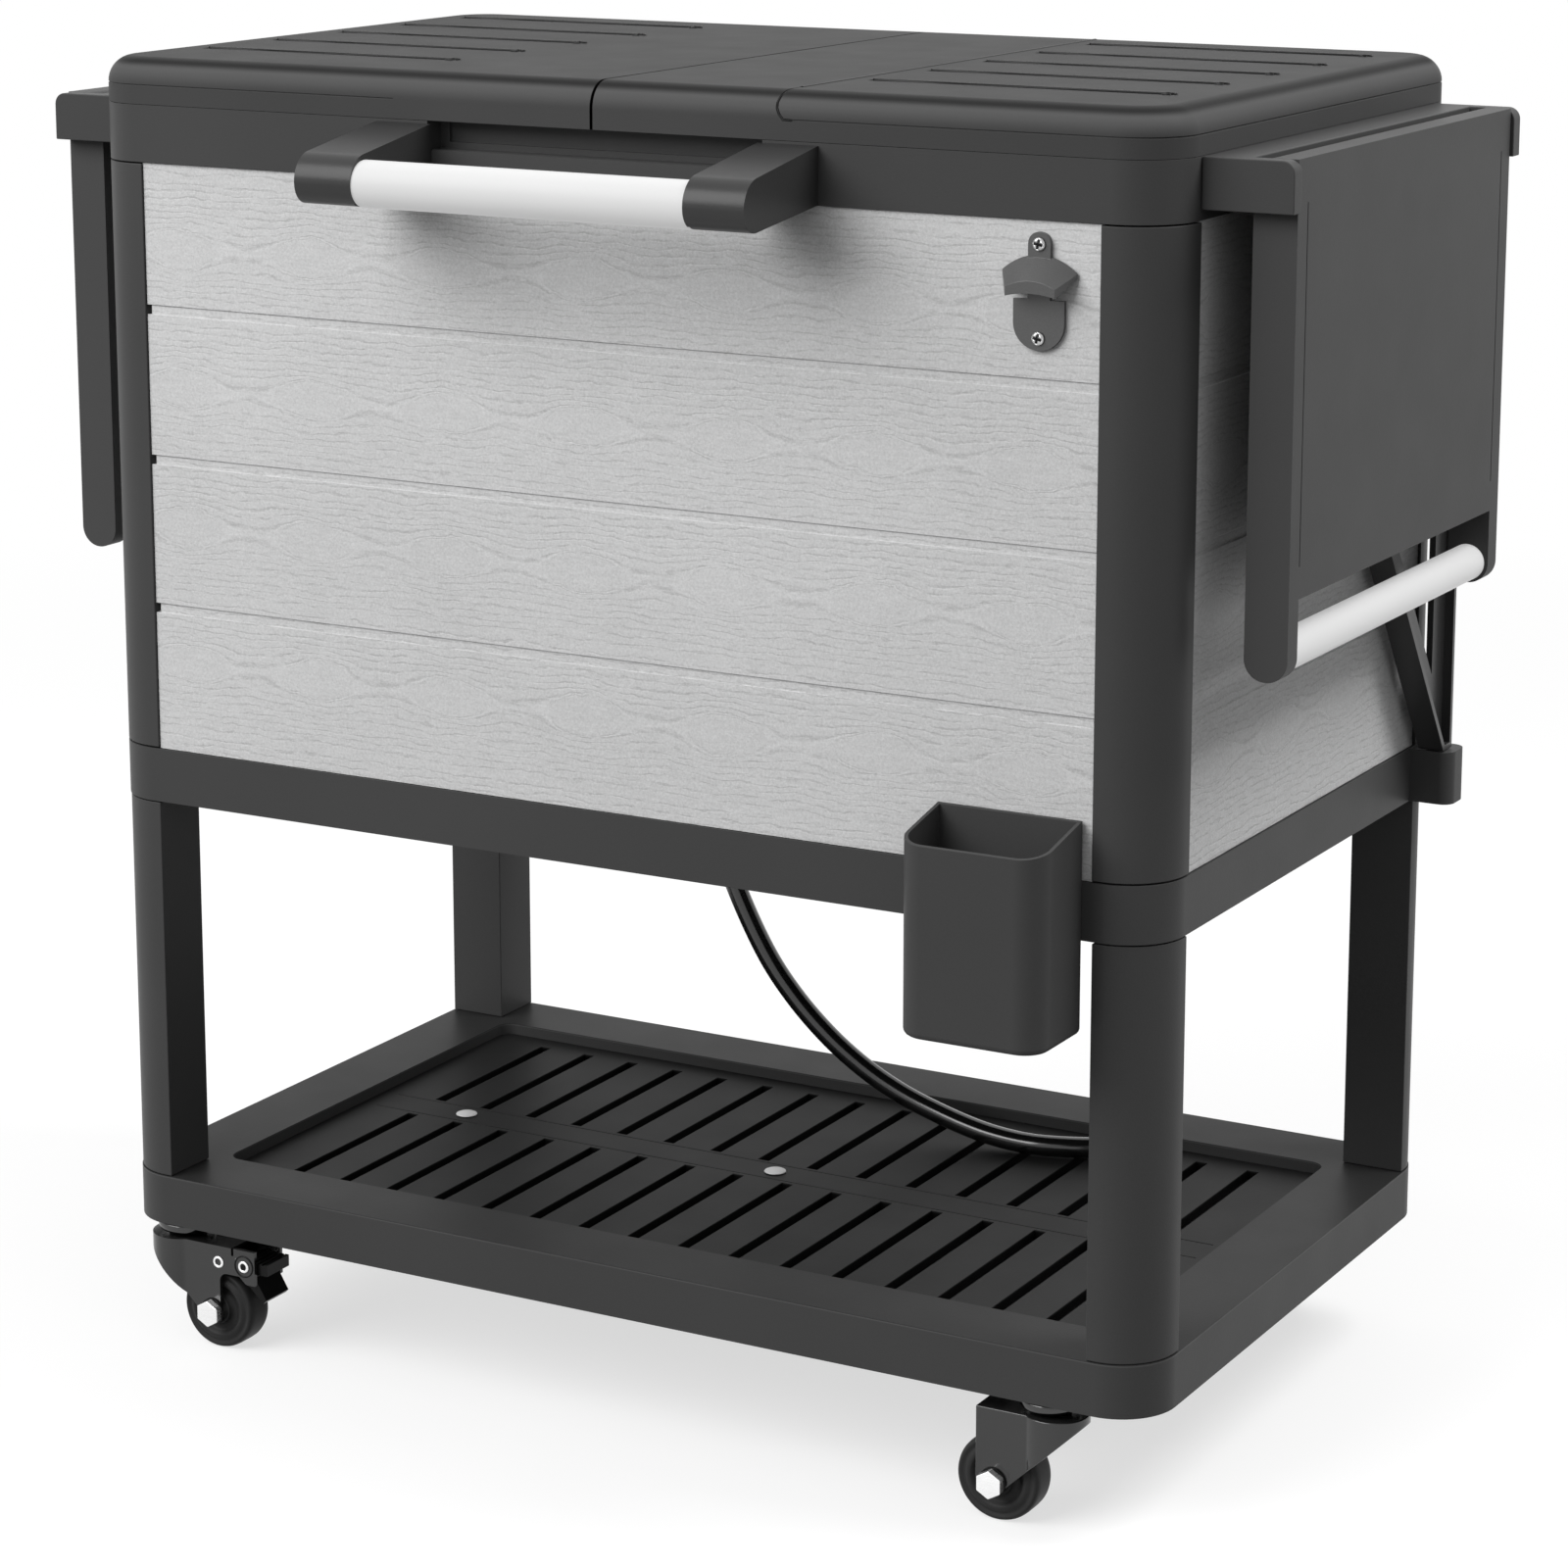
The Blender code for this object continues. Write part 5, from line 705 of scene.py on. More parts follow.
def make_frame():
    low_part = (BASE_TOP + FIT, BAND_BOTTOM - JOINT_LINE)
    high_part = (BAND_TOP + JOINT_LINE, RIM_BOTTOM - JOINT_LINE)
    for name, sx, sy in CORNERS:
        make_post("leg_shape_" + name, "leg_" + name, sx, sy, low_part, 0.0005)
        make_post("post_shape_" + name, "corner_post_" + name, sx, sy, high_part, 0.0)
    band = block(0, (BAND_BOTTOM, BAND_TOP))
    hollow = (BAND_BOTTOM - PAST, BAND_TOP - 0.004)
    cuts = [
        blank(both(HALF_WIDTH - 0.012), around(POST_Y), hollow),
        blank(both(POST_X), around(HALF_DEPTH - 0.012), hollow),
        drum(DRAIN_HOLE, "z", (BAND_TOP - 0.008, BAND_TOP + PAST), DRAIN_AT),
    ]
    adds = []
    hinge_y, hinge_z = (GATE_PIVOT - 0.0065, GATE_PIVOT + 0.0195), (BAND_BOTTOM + FIT, BAND_TOP - FIT)
    for _, side in SIDES:
        hinge = blank(to_side(side, HALF_WIDTH - 0.006, HALF_WIDTH + 0.027), hinge_y, hinge_z)
        rounded(hinge, 0.008, 8, "z", lambda where: abs(where.x) > HALF_WIDTH)
        adds.append(hinge)
        at = (BIN_X + side * LUG_ASIDE, LUG_LEVEL)
        adds.append(drum(0.0025, "y", (FRONT_Y + 0.006, FRONT_Y - 0.0042), at, 24))
        adds.append(drum(0.0050, "y", (FRONT_Y - 0.0032, FRONT_Y - 0.0052), at, 32))
    piece("band_ring", band, "charcoal", "mid_band", 0.0007, adds, cuts)


def make_base():
    """The tray: a recess for the shelf, shallow bays under it, and hollow sides from below."""
    tray = block(0, (BASE_BOTTOM, BASE_TOP))
    half_x, half_y = HALF_WIDTH - TRAY_FLANGE, HALF_DEPTH - TRAY_FLANGE
    floor = BASE_TOP - 0.0138
    bay = (BASE_BOTTOM + TRAY_WALL, BASE_TOP - 0.010)
    hollow = (BASE_BOTTOM - PAST, BASE_TOP - TRAY_WALL)
    cuts = [block(TRAY_FLANGE, (floor, BASE_TOP + PAST), 0.010, 8)]
    for side in (-1, 1):
        cuts.append(blank(both(half_x - 0.012), to_side(side, 0.015, half_y - 0.012, MIDDLE_Y), bay))
        along = to_side(side, half_y + TRAY_WALL, HALF_DEPTH - TRAY_WALL, MIDDLE_Y)
        cuts.append(blank(both(0.252), along, hollow))
        across = to_side(side, half_x + TRAY_WALL, HALF_WIDTH - TRAY_WALL)
        cuts.append(blank(across, around(POST_Y - TRAY_WALL), hollow))
    piece("tray_shape", tray, "tray", "base_tray", 0.0012, (), cuts)
    # A black sheet of painted shade on the recess floor, seen through the shelf's slots
    bed = blank(both(half_x - 0.004), around(half_y - 0.004), (floor - FIT, floor + FIT / 2))
    shading("tray_bed_shade", bed)


def make_shelf():
    half_x, half_y = HALF_WIDTH - TRAY_FLANGE, HALF_DEPTH - TRAY_FLANGE
    top = SHELF_TOP
    grate = block(TRAY_FLANGE + FIT, (top - 0.006, top), 0.010, 8)
    slots = bmesh.new()
    for index in range(16):
        middle = (index - 7.5) * 0.0354
        for side in (-1, 1):
            along = to_side(side, 0.016, half_y - 0.0155, MIDDLE_Y)
            blank(around(0.0039, middle), along, around(0.010, top), slots)
    lines = []
    for side in (-1, 1):
        middle = MIDDLE_Y + side * 0.0128
        line_y = around(0.0004, middle)
        lines.append(blank(both(half_x - 0.012), line_y, (top - 0.0006, top + PAST)))
    piece("grate_shape", grate, "shelf", "shelf_grate", 0.0005, (), [slots, *lines])
    dome = [(0, 0.0017), (0.0052, 0.0016), (0.0068, 0.0009), (0.0072, 0.0003)]
    shank = [(0.0022, 0.0003), (0.0022, -0.012), (0, -0.012)]
    for index, place in enumerate(("left", "middle", "right")):
        button = spun(dome + shank, "z", ((index - 1) * 0.234, MIDDLE_Y, top), 40)
        piece("button_" + place, button, "button", "shelf_screw_" + place)


def make_panel(name, x, y, face, finish):
    """A panel of four boards. face says which way it looks: along which axis, and to which side."""
    axis, side = face
    outer = (y if axis == "y" else x)[0 if side < 0 else 1]
    depth = to_side(side, -0.0009, PAST, outer)
    cuts = []
    pitch = (RIM_BOTTOM - BAND_TOP + GROOVE) / 4
    for index in (1, 2, 3):
        low = BAND_TOP + pitch * index - GROOVE
        groove = (low, low + GROOVE)
        if axis == "y":
            cuts.append(blank(through(*x), depth, groove))
            notch = to_side(side, -0.0042, PAST, outer)
            cuts.append(blank((x[0] - PAST, x[0] + 0.0028), notch, groove))
        else:
            cuts.append(blank(depth, through(*y), groove))
    if name == "front":
        for level in (0.7382, 0.6873):
            cuts.append(drum(0.002, "y", through(*y), (OPENER_X, level), 16))
    board = blank(x, y, (BAND_TOP + FIT, RIM_BOTTOM - FIT))
    piece("boards_" + name, board, finish, "panel_" + name, 0.0006, (), cuts)


def make_panels():
    wide, deep = both(POST_X - FIT), around(POST_Y - FIT)
    make_panel("front", wide, (FRONT_Y + 0.0015, FRONT_Y + 0.0075), ("y", -1), "front_boards")
    make_panel("back", wide, (BACK_Y - 0.0075, BACK_Y - 0.0015), ("y", 1), "front_boards")
    for side_name, side in SIDES:
        x = to_side(side, HALF_WIDTH - 0.0075, HALF_WIDTH - 0.0015)
        make_panel(side_name, x, deep, ("x", side), "side_boards")


def make_liner():
    low, high = BAND_TOP + 0.025, RIM_TOP - 0.0097
    liner = block(0.034, (low, high), 0.030, 12)
    hollow = block(0.037, (low + 0.003, high + PAST), 0.027, 12)
    rounded(hollow, 0.012, 6, wanted=lambda where: where.z < low + 0.0031)
    hole = drum(DRAIN_HOLE, "z", through(low, low), DRAIN_AT)
    piece("liner_shape", liner, "inside", "liner", 0.0006, (), [hollow, hole])


def make_handle():
    nose_y, nose_z = HANDLE_NOSE
    tip = nose_y - NOSE_RADIUS
    for side_name, side in SIDES:
        z = around(NOSE_RADIUS, nose_z)
        arm = blank(to_side(side, 0.1078, 0.1458), (tip, FRONT_Y - FIT), z)
        for vert in arm.verts:
            if vert.co.y > nose_y:
                vert.co.z = RIM_TOP - 0.0015 if vert.co.z > nose_z else RIM_BOTTOM + FIT
        rounded(arm, NOSE_RADIUS - FIT, 12, "x", lambda where: where.y < tip + FIT)
        cuts = [
            drum(0.0140, "x", to_side(side, 0.1038, 0.1092), HANDLE_NOSE, 64),
            drum(0.0093, "x", to_side(side, 0.1038, 0.1221), HANDLE_NOSE),
        ]
        node = "handle_arm_" + side_name
        piece("arm_shape_" + side_name, arm, "arm", node, 0.0014, (), cuts, segments=4)
    grip = white_bar(0.0135, 0.0090, (0.1086, 0.1218), "x", (0, nose_y, nose_z))
    piece("grip_bar", grip, "white", "handle_bar")


def white_bar(radius, spigot, ends, axis, place):
    """A bar with a softly rounded shoulder and a spigot at each end."""
    face, end = ends
    half = [(0, end), (spigot, end), (spigot, face), (radius - 0.0010, face)]
    half += [(radius - 0.0003, face - 0.0004), (radius, face - 0.0012)]
    return spun(half + [(wide, -far) for wide, far in reversed(half)], axis, place, 72)


def table_pins(side, radius, near, far):
    """A round bar at each end of a table's axis, between two places out from the table's end."""
    at = (side * TABLE_AXIS[0], TABLE_AXIS[1])
    spans = [to_side(way, TABLE_HALF + near, TABLE_HALF + far, MIDDLE_Y) for way in (-1, 1)]
    return [drum(radius, "y", span, at, 24) for span in spans]


def make_table(side_name, side):
    rail_bottom, slab_bottom = RIM_TOP - 0.285, RIM_TOP - 0.240
    board = blank(to_side(side, TABLE_INNER, TABLE_OUTER), around(TABLE_HALF), (rail_bottom, RIM_TOP))
    half = (TABLE_OUTER - TABLE_INNER) / 2

    def inner_top(where):
        return where.z > RIM_TOP - FIT and abs(where.x) < TABLE_INNER + FIT

    rounded(board, half - FIT, 12, "y", lambda where: where.z < rail_bottom + FIT)
    rounded(board, half - FIT, 10, "y", inner_top)
    rails = around(TABLE_HALF - 0.014)
    bar_at = (side * TABLE_AXIS[0], rail_bottom + 0.01275)
    past = to_side(side, TABLE_INNER - PAST, TABLE_OUTER + PAST)
    pocket_x = to_side(side, TABLE_INNER - PAST, TABLE_OUTER - 0.004)
    cuts = [
        blank(past, rails, (rail_bottom - PAST, slab_bottom)),
        blank(pocket_x, rails, (slab_bottom + 0.004, RIM_TOP - 0.026)),
        drum(0.0063, "y", (rails[0] - 0.0083, rails[1] + 0.0083), bar_at, 32),
    ]
    for line in rails:
        line_x = to_side(side, TABLE_OUTER - 0.0004, TABLE_OUTER + PAST)
        cuts.append(blank(line_x, around(0.0005, line), (slab_bottom + 0.018, RIM_TOP - 0.024)))
    adds = table_pins(side, 0.003, -0.004, 0.008)
    node, body = "side_table_" + side_name, "table_" + side_name
    piece("table_shape_" + side_name, board, "table", node, 0.0007, adds, cuts, body)
    place = (bar_at[0], MIDDLE_Y, bar_at[1])
    bar = white_bar(0.011, 0.006, (TABLE_HALF - 0.0143, TABLE_HALF - 0.0063), "y", place)
    piece("towel_bar_" + side_name, bar, "white", "table_bar_" + side_name, body=body)


def make_bracket(side_name, side):
    edge, top = TABLE_OUTER + 0.0022, RIM_TOP
    room, z = TABLE_HALF + FIT, (top - 0.0285, top)
    bracket = blank(to_side(side, HALF_WIDTH + FIT, edge), around(room + 0.0107), z)
    rounded(bracket, 0.007, 10, "y", lambda where: where.z > top - FIT and abs(where.x) > edge - FIT)
    cuts = [blank(to_side(side, TABLE_INNER - 0.0005, edge + PAST), around(room), through(*z))]
    cuts += table_pins(side, 0.0033, -PAST, 0.0085)
    node = "table_bracket_" + side_name
    piece("bracket_shape_" + side_name, bracket, "charcoal", node, 0.0007, (), cuts)


def gate_slab(inset, x):
    """An upright slab with the gate's outline, drawn in by a border."""
    low, high = GATE_Z
    back, foot, tip = GATE_PIVOT + 0.0085, GATE_PIVOT - 0.0055, GATE_PIVOT - 0.2625
    slope = (high - low) / (foot - tip)
    shift = inset * math.sqrt(1 + slope * slope) / slope
    bottom = max(low + inset, low + (foot + shift - (back - inset)) * slope)
    bm = blank(x, (tip, back - inset), (bottom, high - inset))
    for vert in bm.verts:
        if vert.co.y < (tip + back - inset) / 2:
            vert.co.y = min(foot - (vert.co.z - low) / slope + shift, back - inset - FIT)
    return bm


def make_gate(side_name, side):
    middle, half = side * (HALF_WIDTH + 0.0132), 0.0082
    sheet = around(half, middle)
    cuts = [gate_slab(0.0035, to_side(way, 0.002, half + PAST, middle)) for way in (-1, 1)]
    cuts.append(gate_slab(0.022, sheet))
    low, high = GATE_Z
    pins = ((low - 0.012, low + 0.002), (high - 0.002, high + 0.012))
    adds = [drum(0.0022, "z", ends, (middle, GATE_PIVOT), 20) for ends in pins]
    gate, node = gate_slab(0, sheet), "gate_" + side_name
    piece("gate_shape_" + side_name, gate, "gate", node, 0.0005, adds, cuts)


def make_opener():
    """The cast opener: a half-round plate on a narrow neck, and an arched hood that falls to a lip."""
    x, top = OPENER_X, RIM_BOTTOM - 0.0062
    back = FRONT_Y + 0.0012
    face = back - 0.0025
    shoulder, bottom = top - 0.0365, top - 0.0641
    plate = blank(around(0.01525, x), (face, back), (bottom, shoulder))
    rounded(plate, 0.0150, 16, "y", lambda where: where.z < bottom + FIT)
    neck = blank(around(0.0067, x), (face, back), (shoulder - 0.003, top))
    rounded(neck, 0.0065, 12, "y", lambda where: where.z > top - FIT)
    cuts = [opener_hood(x, top, back, 0.0024)]
    screws = (("upper", top - 0.0066), ("lower", bottom + 0.0066))
    for _, level in screws:
        cuts.append(drum(0.0020, "y", (face - 0.020, back + PAST), (x, level), 20))
    adds = [neck, opener_hood(x, top, back, 0)]
    piece("opener_shape", plate, "opener", "bottle_opener", 0.0008, adds, cuts)
    for place, level in screws:
        make_opener_screw(place, x, level, face)


def opener_hood(x, top, back, sheet):
    """The hood's form, arched at the wall and straighter at its lip. Given a sheet, the room under it."""
    reach = 0.0138
    lip = back - reach + sheet
    start = back - 0.0028 if sheet else back - 0.0012
    bm = blank((-1, 1), (lip, start), (0, 1))
    across_edges = [edge for edge in bm.edges if edge.verts[0].co.x * edge.verts[1].co.x < 0]
    bmesh.ops.subdivide_edges(bm, edges=across_edges, cuts=17, use_grid_fill=True)
    for vert in bm.verts:
        out = (back - vert.co.y) / reach
        half = 0.0232 - 0.0084 * out
        beside = vert.co.x * (half - sheet)
        share = beside / half
        at_wall = 0.0113 + 0.0093 * abs(share) ** 2.2
        at_lip = 0.0252 + 0.0037 * share * share
        upper = top - at_wall - (at_lip - at_wall) * out - sheet
        lower = top - 0.023 - (0.009 + 0.0019 * share * share) * out - (PAST if sheet else 0)
        vert.co = (x + beside, vert.co.y, upper if vert.co.z > 0.5 else lower)
    return bm


def make_opener_screw(place, x, z, face):
    shank = [(0, 0.0075), (0.0017, 0.0075), (0.0017, -0.0003), (0.0039, -0.0003)]
    dome = [(0.0036, -0.0011), (0.0026, -0.0017), (0, -0.0020)]
    screw = spun(shank + dome, "y", (x, face, z), 40)
    turn = Matrix.Rotation(math.radians(12), 4, "Y")

    def arms(width, length, deep, level):
        """The two bars of the cross, at a level before the plate."""
        bars = []
        for size in ((width, deep, length), (length, deep, width)):
            bm = bmesh.new()
            place_at = Matrix.Translation((x, face + level, z)) @ turn @ Matrix.Diagonal((*size, 1))
            bmesh.ops.create_cube(bm, size=1, matrix=place_at)
            bars.append(bm)
        return bars

    cross = arms(0.0014, 0.0052, 0.0034, -0.0024)
    piece("cross_screw_" + place, screw, "screw", "opener_screw_" + place, 0, (), cross)
    # Black bars of painted shade deep in the screw's cross
    first, second = arms(0.0015, 0.0053, 0.0008, -0.0010)
    shading("cross_shade_" + place, first, "cabinet", [second])


def bin_form(inset, z_low, lift):
    half = 0.04425 - inset
    back, front = FRONT_Y - 0.0005 - inset, FRONT_Y - 0.0535 + inset
    middle_y = (front + back) / 2
    bm = blank(around(half, BIN_X), (front, back), (z_low, BIN_BOTTOM + 0.122))
    for vert in bm.verts:
        if vert.co.z > z_low + FIT:
            vert.co.z = BIN_BOTTOM + lift + (0.1105 if vert.co.y < middle_y else 0.122)
    rounded(bm, 0.016 - inset, 12, "z", lambda where: where.y < middle_y)
    rounded(bm, 0.004 - inset * 0.6, 4, wanted=lambda where: where.z < z_low + FIT)
    return bm


def make_bin():
    cup = bin_form(0, BIN_BOTTOM, 0)
    cuts = [bin_form(0.0022, BIN_BOTTOM + 0.0022, PAST)]
    depth = (FRONT_Y - 0.0047, FRONT_Y + PAST)
    for _, side in SIDES:
        x, eye = BIN_X + side * LUG_ASIDE, LUG_LEVEL - 0.0135
        cuts.append(blank(around(0.003, x), depth, (eye, LUG_LEVEL + 0.003)))
        cuts.append(drum(0.0055, "y", depth, (x, eye), 32))
    piece("bin_shape", cup, "charcoal", "catch_bin", 0.0006, (), cuts, "bin")


def make_drain():
    top, under = BAND_TOP + 0.0283, BAND_TOP - 0.0043
    flange = [(0.0035, top + 0.0025), (0.0125, top + 0.0025), (0.0150, top), (0.0085, top)]
    nut = [(0.0085, under), (0.0130, under), (0.0130, under - 0.007), (0.0058, under - 0.007)]
    spout = [(0.0058, 0.3686), (0.0035, 0.3686)]
    fitting = spun(flange + nut + spout, "z", (*DRAIN_AT, 0), 48)
    piece("drain_shape", fitting, "drain", "drain_fitting")


def caster_place(name):
    trail = -1 if "right" in name else 1
    x = 0.287 if trail < 0 else -0.320
    y = FRONT_Y + 0.020 if "front" in name else BACK_Y - 0.020
    return x, y, trail


def make_caster_head(name, x, y):
    """The raceway: a polished disc on a narrower collar, with the stem above and the kingpin below."""
    top = BASE_BOTTOM - FIT
    under = FORK_TOP - 0.0028
    profile = (
        (0, top + 0.018), (0.0049, top + 0.018), (0.0049, top), (0.0168, top),
        (0.0180, top - 0.0010), (0.0185, top - 0.0026), (0.0183, top - 0.0046),
        (0.0172, top - 0.0062), (0.0160, top - 0.0066), (0.0120, top - 0.0067),
        (0.0120, top - 0.0092), (0.0040, top - 0.0092), (0.0040, under), (0.0065, under),
        (0.0060, under - 0.0015), (0, under - 0.0017),
    )
    piece("stem_head_" + name, spun(profile, "z", (x, y, 0), 64), "raceway", "caster_head_" + name)


def fork_form(at, tail, sheet, z):
    """The fork from above: two cheeks and a wider round nose. Given a sheet, the room inside it."""
    x, y, trail = at
    half, radius = 0.0150 - sheet, 0.0195 - sheet
    painted_crease_shade = math.asin(half / radius)
    outline = [(tail, half)]
    for step in range(33):
        turn = painted_crease_shade + (math.tau - 2 * painted_crease_shade) * step / 32
        outline.append((radius * math.cos(turn) - 0.0035, radius * math.sin(turn)))
    outline.append((tail, -half))
    return prism([(x + trail * out, y + aside) for out, aside in outline], "z", z)


def side_cut(at, outline, half):
    """A form right through the fork, from places out from its swivel axis and above the floor."""
    x, y, trail = at
    return prism([(x + trail * out, level) for out, level in outline], "y", around(half, y))


def make_fork(name, x, y, trail, braked):
    at, foot = (x, y, trail), 0.018
    tail = 0.062 if braked else TRAIL + 0.0115
    fork = fork_form(at, tail, 0, (foot, FORK_TOP))
    cuts = [fork_form(at, tail + PAST, 0.0025, (foot - PAST, FORK_TOP - 0.0025))]
    tip, low = (-0.023, FORK_TOP - 0.005), (TRAIL - 0.0025, foot)
    slope = (tip[1] - low[1]) / (low[0] - tip[0])
    slant = [(-0.027, tip[1] + 0.004 * slope), (low[0] + 0.004 / slope, foot - 0.004), (-0.027, foot - 0.004)]
    cuts.append(side_cut(at, slant, 0.026))
    leg = TRAIL + (0.006 if braked else 0.0115)
    radius, inner = leg - TRAIL - 0.0015, TRAIL + 0.0015
    heel = [(leg + PAST, foot - PAST), (inner, foot - PAST), (inner, foot)]
    heel += [(inner + radius * across, foot + radius * (1 - up)) for across, up in quarter_turn()]
    heel.append((leg + PAST, foot + radius))
    cuts.append(side_cut(at, heel, 0.026))
    if braked:
        cuts += brake_cuts(at, leg)
    cuts.append(drum(0.0043, "z", (FORK_TOP - 0.006, FORK_TOP + PAST), (x, y), 28))
    cuts.append(drum(0.0043, "y", around(0.020, y), (x + trail * TRAIL, WHEEL_RADIUS), 28))
    body = "caster_" + name
    piece("fork_shape_" + name, fork, "steel", "caster_fork_" + name, 0.0009, (), cuts, body)
    if braked:
        for way in (-1, 1):
            make_rivet(f"rivet_{name}_{way + 1}", (x + trail * 0.0345, y, BRAKE_LEVEL), way, body)
            # A black ring of painted shade in the groove round the brake pivot's boss, on each cheek
            place = (x + trail * BRAKE_OUT, y, BRAKE_LEVEL)
            boss = flat_ring(0.0063, 0.0071, to_side(way, 0.0146, 0.01535), place)
            shading(f"boss_shade_{name}_{way + 1}", boss, body)


def flat_ring(inner, outer, ends, place):
    """A washer across the cheeks, between two places out from a middle."""
    low, high = ends
    return spun([(inner, low), (inner, high), (outer, high), (outer, low)], "y", place, 40)


def brake_cuts(at, leg):
    """What is cut away round the brake: under the cheeks, between them, and a notch in their tops."""
    x, y, trail = at
    under = [(0.068, 0.010), (leg, 0.010)]
    under += [(leg + 0.0055 - 0.0055 * up, 0.0471 + 0.0055 * across) for across, up in quarter_turn()]
    under += [(0.0502, 0.0526), (0.0548, 0.0484), (0.0562, 0.0480), (0.068, 0.0480)]
    above, cheeks = FORK_TOP + PAST, around(0.020, y)
    between = blank(to_side(trail, 0.0442, 0.068, x), around(0.0125, y), (FORK_TOP - 0.010, above))
    notch = blank(to_side(trail, 0.0442, 0.0460, x), cheeks, (FORK_TOP - 0.0048, above))
    pivot = (x + trail * BRAKE_OUT, BRAKE_LEVEL)
    cuts = [side_cut(at, under, 0.026), between, notch, drum(0.0033, "y", cheeks, pivot, 24)]
    for way in (-1, 1):
        core = as_object("boss_ring", drum(0.0072, "y", to_side(way, 0.0143, 0.020, y), pivot, 40))
        carve(core, [drum(0.0063, "y", around(0.022, y), pivot, 40)], "DIFFERENCE")
        ring = bmesh.new()
        ring.from_mesh(core.data)
        bpy.data.objects.remove(core)
        cuts.append(ring)
    return cuts


def make_rivet(name, place, way, body):
    """The bright ring of a hollow rivet on a fork's cheek."""
    face = 0.0152
    profile = ((0.0022, -0.0004), (0.0022, 0.0006), (0.0026, 0.0010))
    profile += ((0.0034, 0.0010), (0.0039, 0.0005), (0.0040, -0.0001))
    ring = spun([(radius, way * (face + height)) for radius, height in profile], "y", place, 36)
    shading(name, ring, body, finish="bright")


def make_wheel(name, x, y, trail):
    """A wheel with a deep hub recess, a raised ring, a groove and a rounded tread edge."""
    half = [
        (0.0043, 0.0112), (0.0094, 0.0112), (0.0098, 0.0108), (0.0101, 0.0074), (0.0136, 0.0070),
        (0.0154, 0.0084), (0.0166, 0.0100), (0.0180, 0.0106), (0.0196, 0.0102), (0.0207, 0.0092),
        (0.0218, 0.0091), (0.0230, 0.0099), (0.0242, 0.0100), (0.0252, 0.0090), (0.0258, 0.0074),
        (0.0260, 0.0045),
    ]
    profile = half + [(radius, -height) for radius, height in reversed(half)]
    wheel = spun(profile, "y", (x + trail * TRAIL, y, WHEEL_RADIUS), 96)
    piece("wheel_shape_" + name, wheel, "wheel", "wheel_" + name, body="wheel_" + name)


def make_axle(name, x, y, trail):
    at, body = (x + trail * TRAIL, WHEEL_RADIUS), "caster_" + name
    bolt = drum(0.0040, "y", around(0.017, y), at, 28)
    adds = []
    for way in (-1, 1):
        washer = flat_ring(0.0041, 0.0085, to_side(way, 0.0152, 0.0163), (at[0], y, at[1]))
        shading(f"washer_{name}_{way + 1}", washer, body, edge=0.0002)
        hexagon = 0.0075 / math.cos(math.radians(30))
        adds.append(drum(hexagon, "y", to_side(way, 0.0163, 0.0218, y), at, 6))
    piece("axle_shape_" + name, bolt, "bright", "axle_bolt_" + name, 0.0007, adds, (), body)


def make_pedal(name, x, y, trail):
    """The brake lever: a level tread with a lip, and an arm that slants down past the wheel."""
    pivot = (x + trail * BRAKE_OUT, BRAKE_LEVEL)
    outline = [(-0.0045, 0.0024), (0.0155, 0.0024), (0.0155, -0.0050), (0.0085, -0.0050)]
    outline += [(0.0062, -0.0073), (0.0146, -0.0210), (0.0123, -0.0233), (-0.0045, -0.0085)]
    places = [(pivot[0] + trail * out, pivot[1] + up) for out, up in outline]
    pedal = prism(places, "y", around(0.0119, y))
    pin = drum(0.0030, "y", around(0.0156, y), pivot, 24)
    cuts = []
    for step in range(3):
        near = 0.0045 + 0.0036 * step
        ends = to_side(trail, near, near + 0.0012, pivot[0])
        cuts.append(blank(ends, around(0.020, y), (pivot[1] + 0.0018, pivot[1] + 0.006)))
    body = "pedal_" + name
    piece("pedal_shape_" + name, pedal, "black", "brake_pedal_" + name, 0.0005, [pin], cuts, body)
    for way in (-1, 1):
        make_rivet(f"pivot_{name}_{way + 1}", (pivot[0], y, pivot[1]), way, body)


def make_casters():
    for name, _, _ in CORNERS:
        x, y, trail = caster_place(name)
        make_caster_head(name, x, y)
        make_fork(name, x, y, trail, trail > 0)
        make_wheel(name, x, y, trail)
        make_axle(name, x, y, trail)
        if trail > 0:
            make_pedal(name, x, y, trail)


def soft_box(name, place, aim, size, power):
    """A large soft lamp that looks at a point."""
    lamp = bpy.data.lights.new(name, "AREA")
    lamp.shape = "RECTANGLE"
    lamp.size, lamp.size_y = size
    lamp.energy = power
    holder = bpy.data.objects.new(name, lamp)
    bpy.context.scene.collection.objects.link(holder)
    holder.location = place
    holder.rotation_euler = (Vector(aim) - Vector(place)).to_track_quat("-Z", "Y").to_euler()


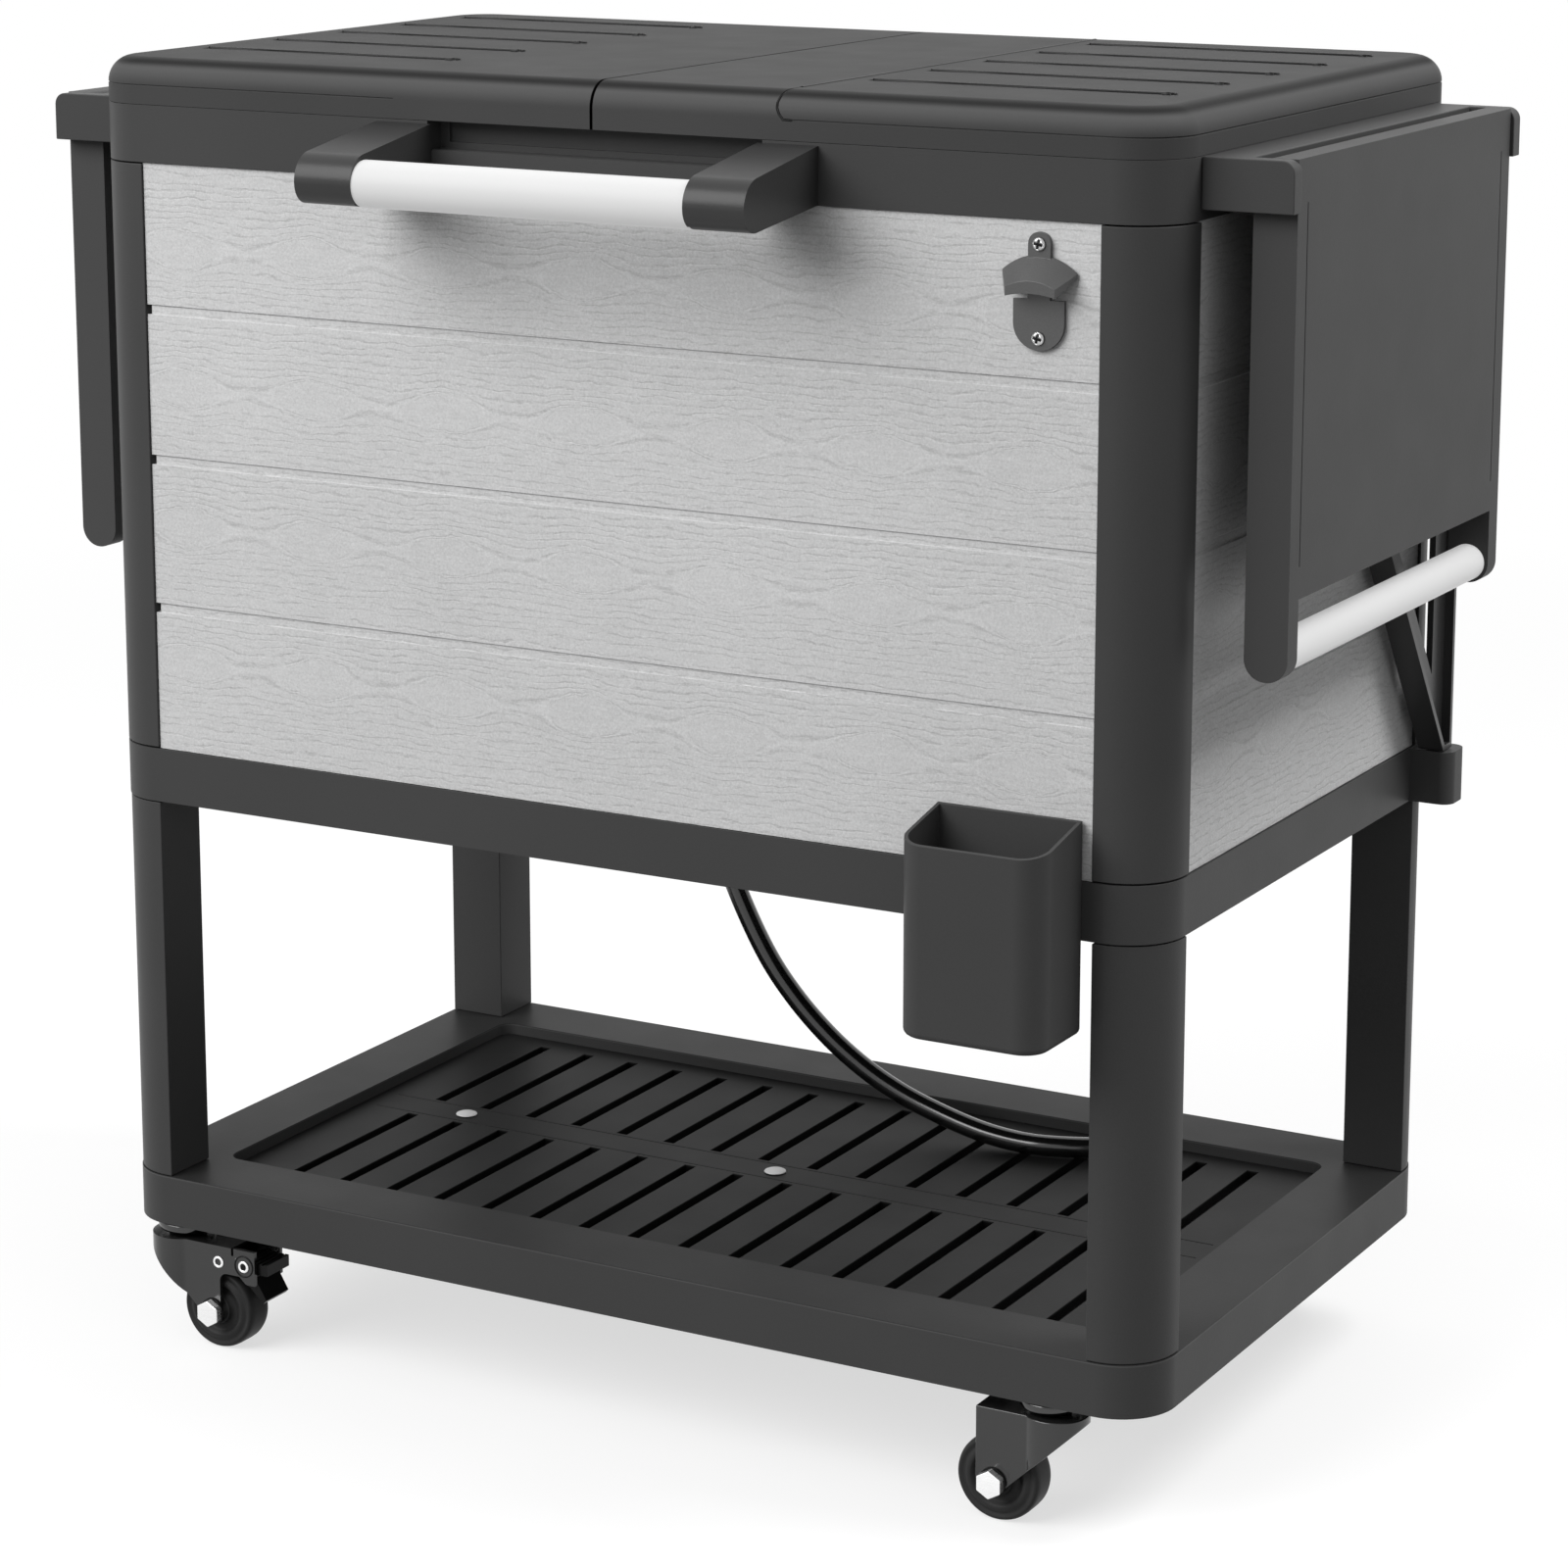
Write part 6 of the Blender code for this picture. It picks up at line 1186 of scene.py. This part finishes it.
def build_studio():
    """A white floor and sky for the camera, lit from the front left and the right, both high up."""
    floor = bmesh.new()
    bmesh.ops.create_grid(floor, x_segments=1, y_segments=1, size=30)
    ground = as_object("studio_floor", floor)
    material, shader, spot = start_finish("studio_white", 0.9, specular=0.0)
    tree = spot.tree
    paint = spot.noise(0.4, 2.0).between(0.62, 0.64)
    seen = rays_that_see(tree)
    feed(shader, Base_Color=seen.blend((0.1, 0.1, 0.1, 1), paint))
    lift = spot.make("ShaderNodeEmission", {"Strength": seen * 0.66})
    near = spot.make("ShaderNodeAddShader", {0: Signal(tree, shader.outputs[0]), 1: lift})
    far = spot.make("ShaderNodeEmission", {"Strength": seen * 0.9 + 0.1})
    away = spot.make("ShaderNodeVectorMath", {0: spot}, {"operation": "LENGTH"}, out="Value")
    share = (away * 0.25).ramp((0.3, 0.0), (0.7, 1.0))
    mixed = spot.make("ShaderNodeMixShader", {0: share, 1: near, 2: far})
    tree.links.new(mixed.socket, tree.nodes["Material Output"].inputs["Surface"])
    ground.data.materials.append(material)

    sky = bpy.data.worlds.new("studio_sky")
    bpy.context.scene.world = sky
    sky.use_nodes = True
    backdrop = sky.node_tree.nodes["Background"]
    backdrop.inputs["Color"].default_value = (1, 1, 1, 1)
    level = rays_that_see(sky.node_tree) * 0.54 + 0.46
    sky.node_tree.links.new(level.socket, backdrop.inputs["Strength"])

    bpy.context.scene.view_settings.view_transform = "Standard"
    soft_box("front_light", (-1.7, -3.0, 2.9), (0, -0.1, 0.6), (3.6, 2.8), 178)
    soft_box("right_light", (1.6, 0.5, 2.4), (0.2, 0, 0.5), (1.1, 1.1), 47)


def rays_that_see(tree):
    """One where the camera, a reflection or clear plastic looks at the studio, else nothing."""
    path = tree.nodes.new("ShaderNodeLightPath")
    camera, mirror, clear = (
        Signal(tree, path.outputs[name]) for name in ("Is Camera Ray", "Is Glossy Ray", "Is Transmission Ray")
    )
    return camera + mirror + clear


aim_camera()
lay_hose()
build_studio()
for lid_side_name, lid_side in SIDES:
    make_lid(lid_side_name, lid_side)
    refinish("lid_liner_" + lid_side_name, "inside")
    make_table(lid_side_name, lid_side)
    make_bracket(lid_side_name, lid_side)
    make_gate(lid_side_name, lid_side)
make_rim()
make_frame()
make_base()
make_shelf()
make_panels()
make_liner()
refinish("insulation_foam", "foam")
make_handle()
make_opener()
make_bin()
make_drain()
make_casters()
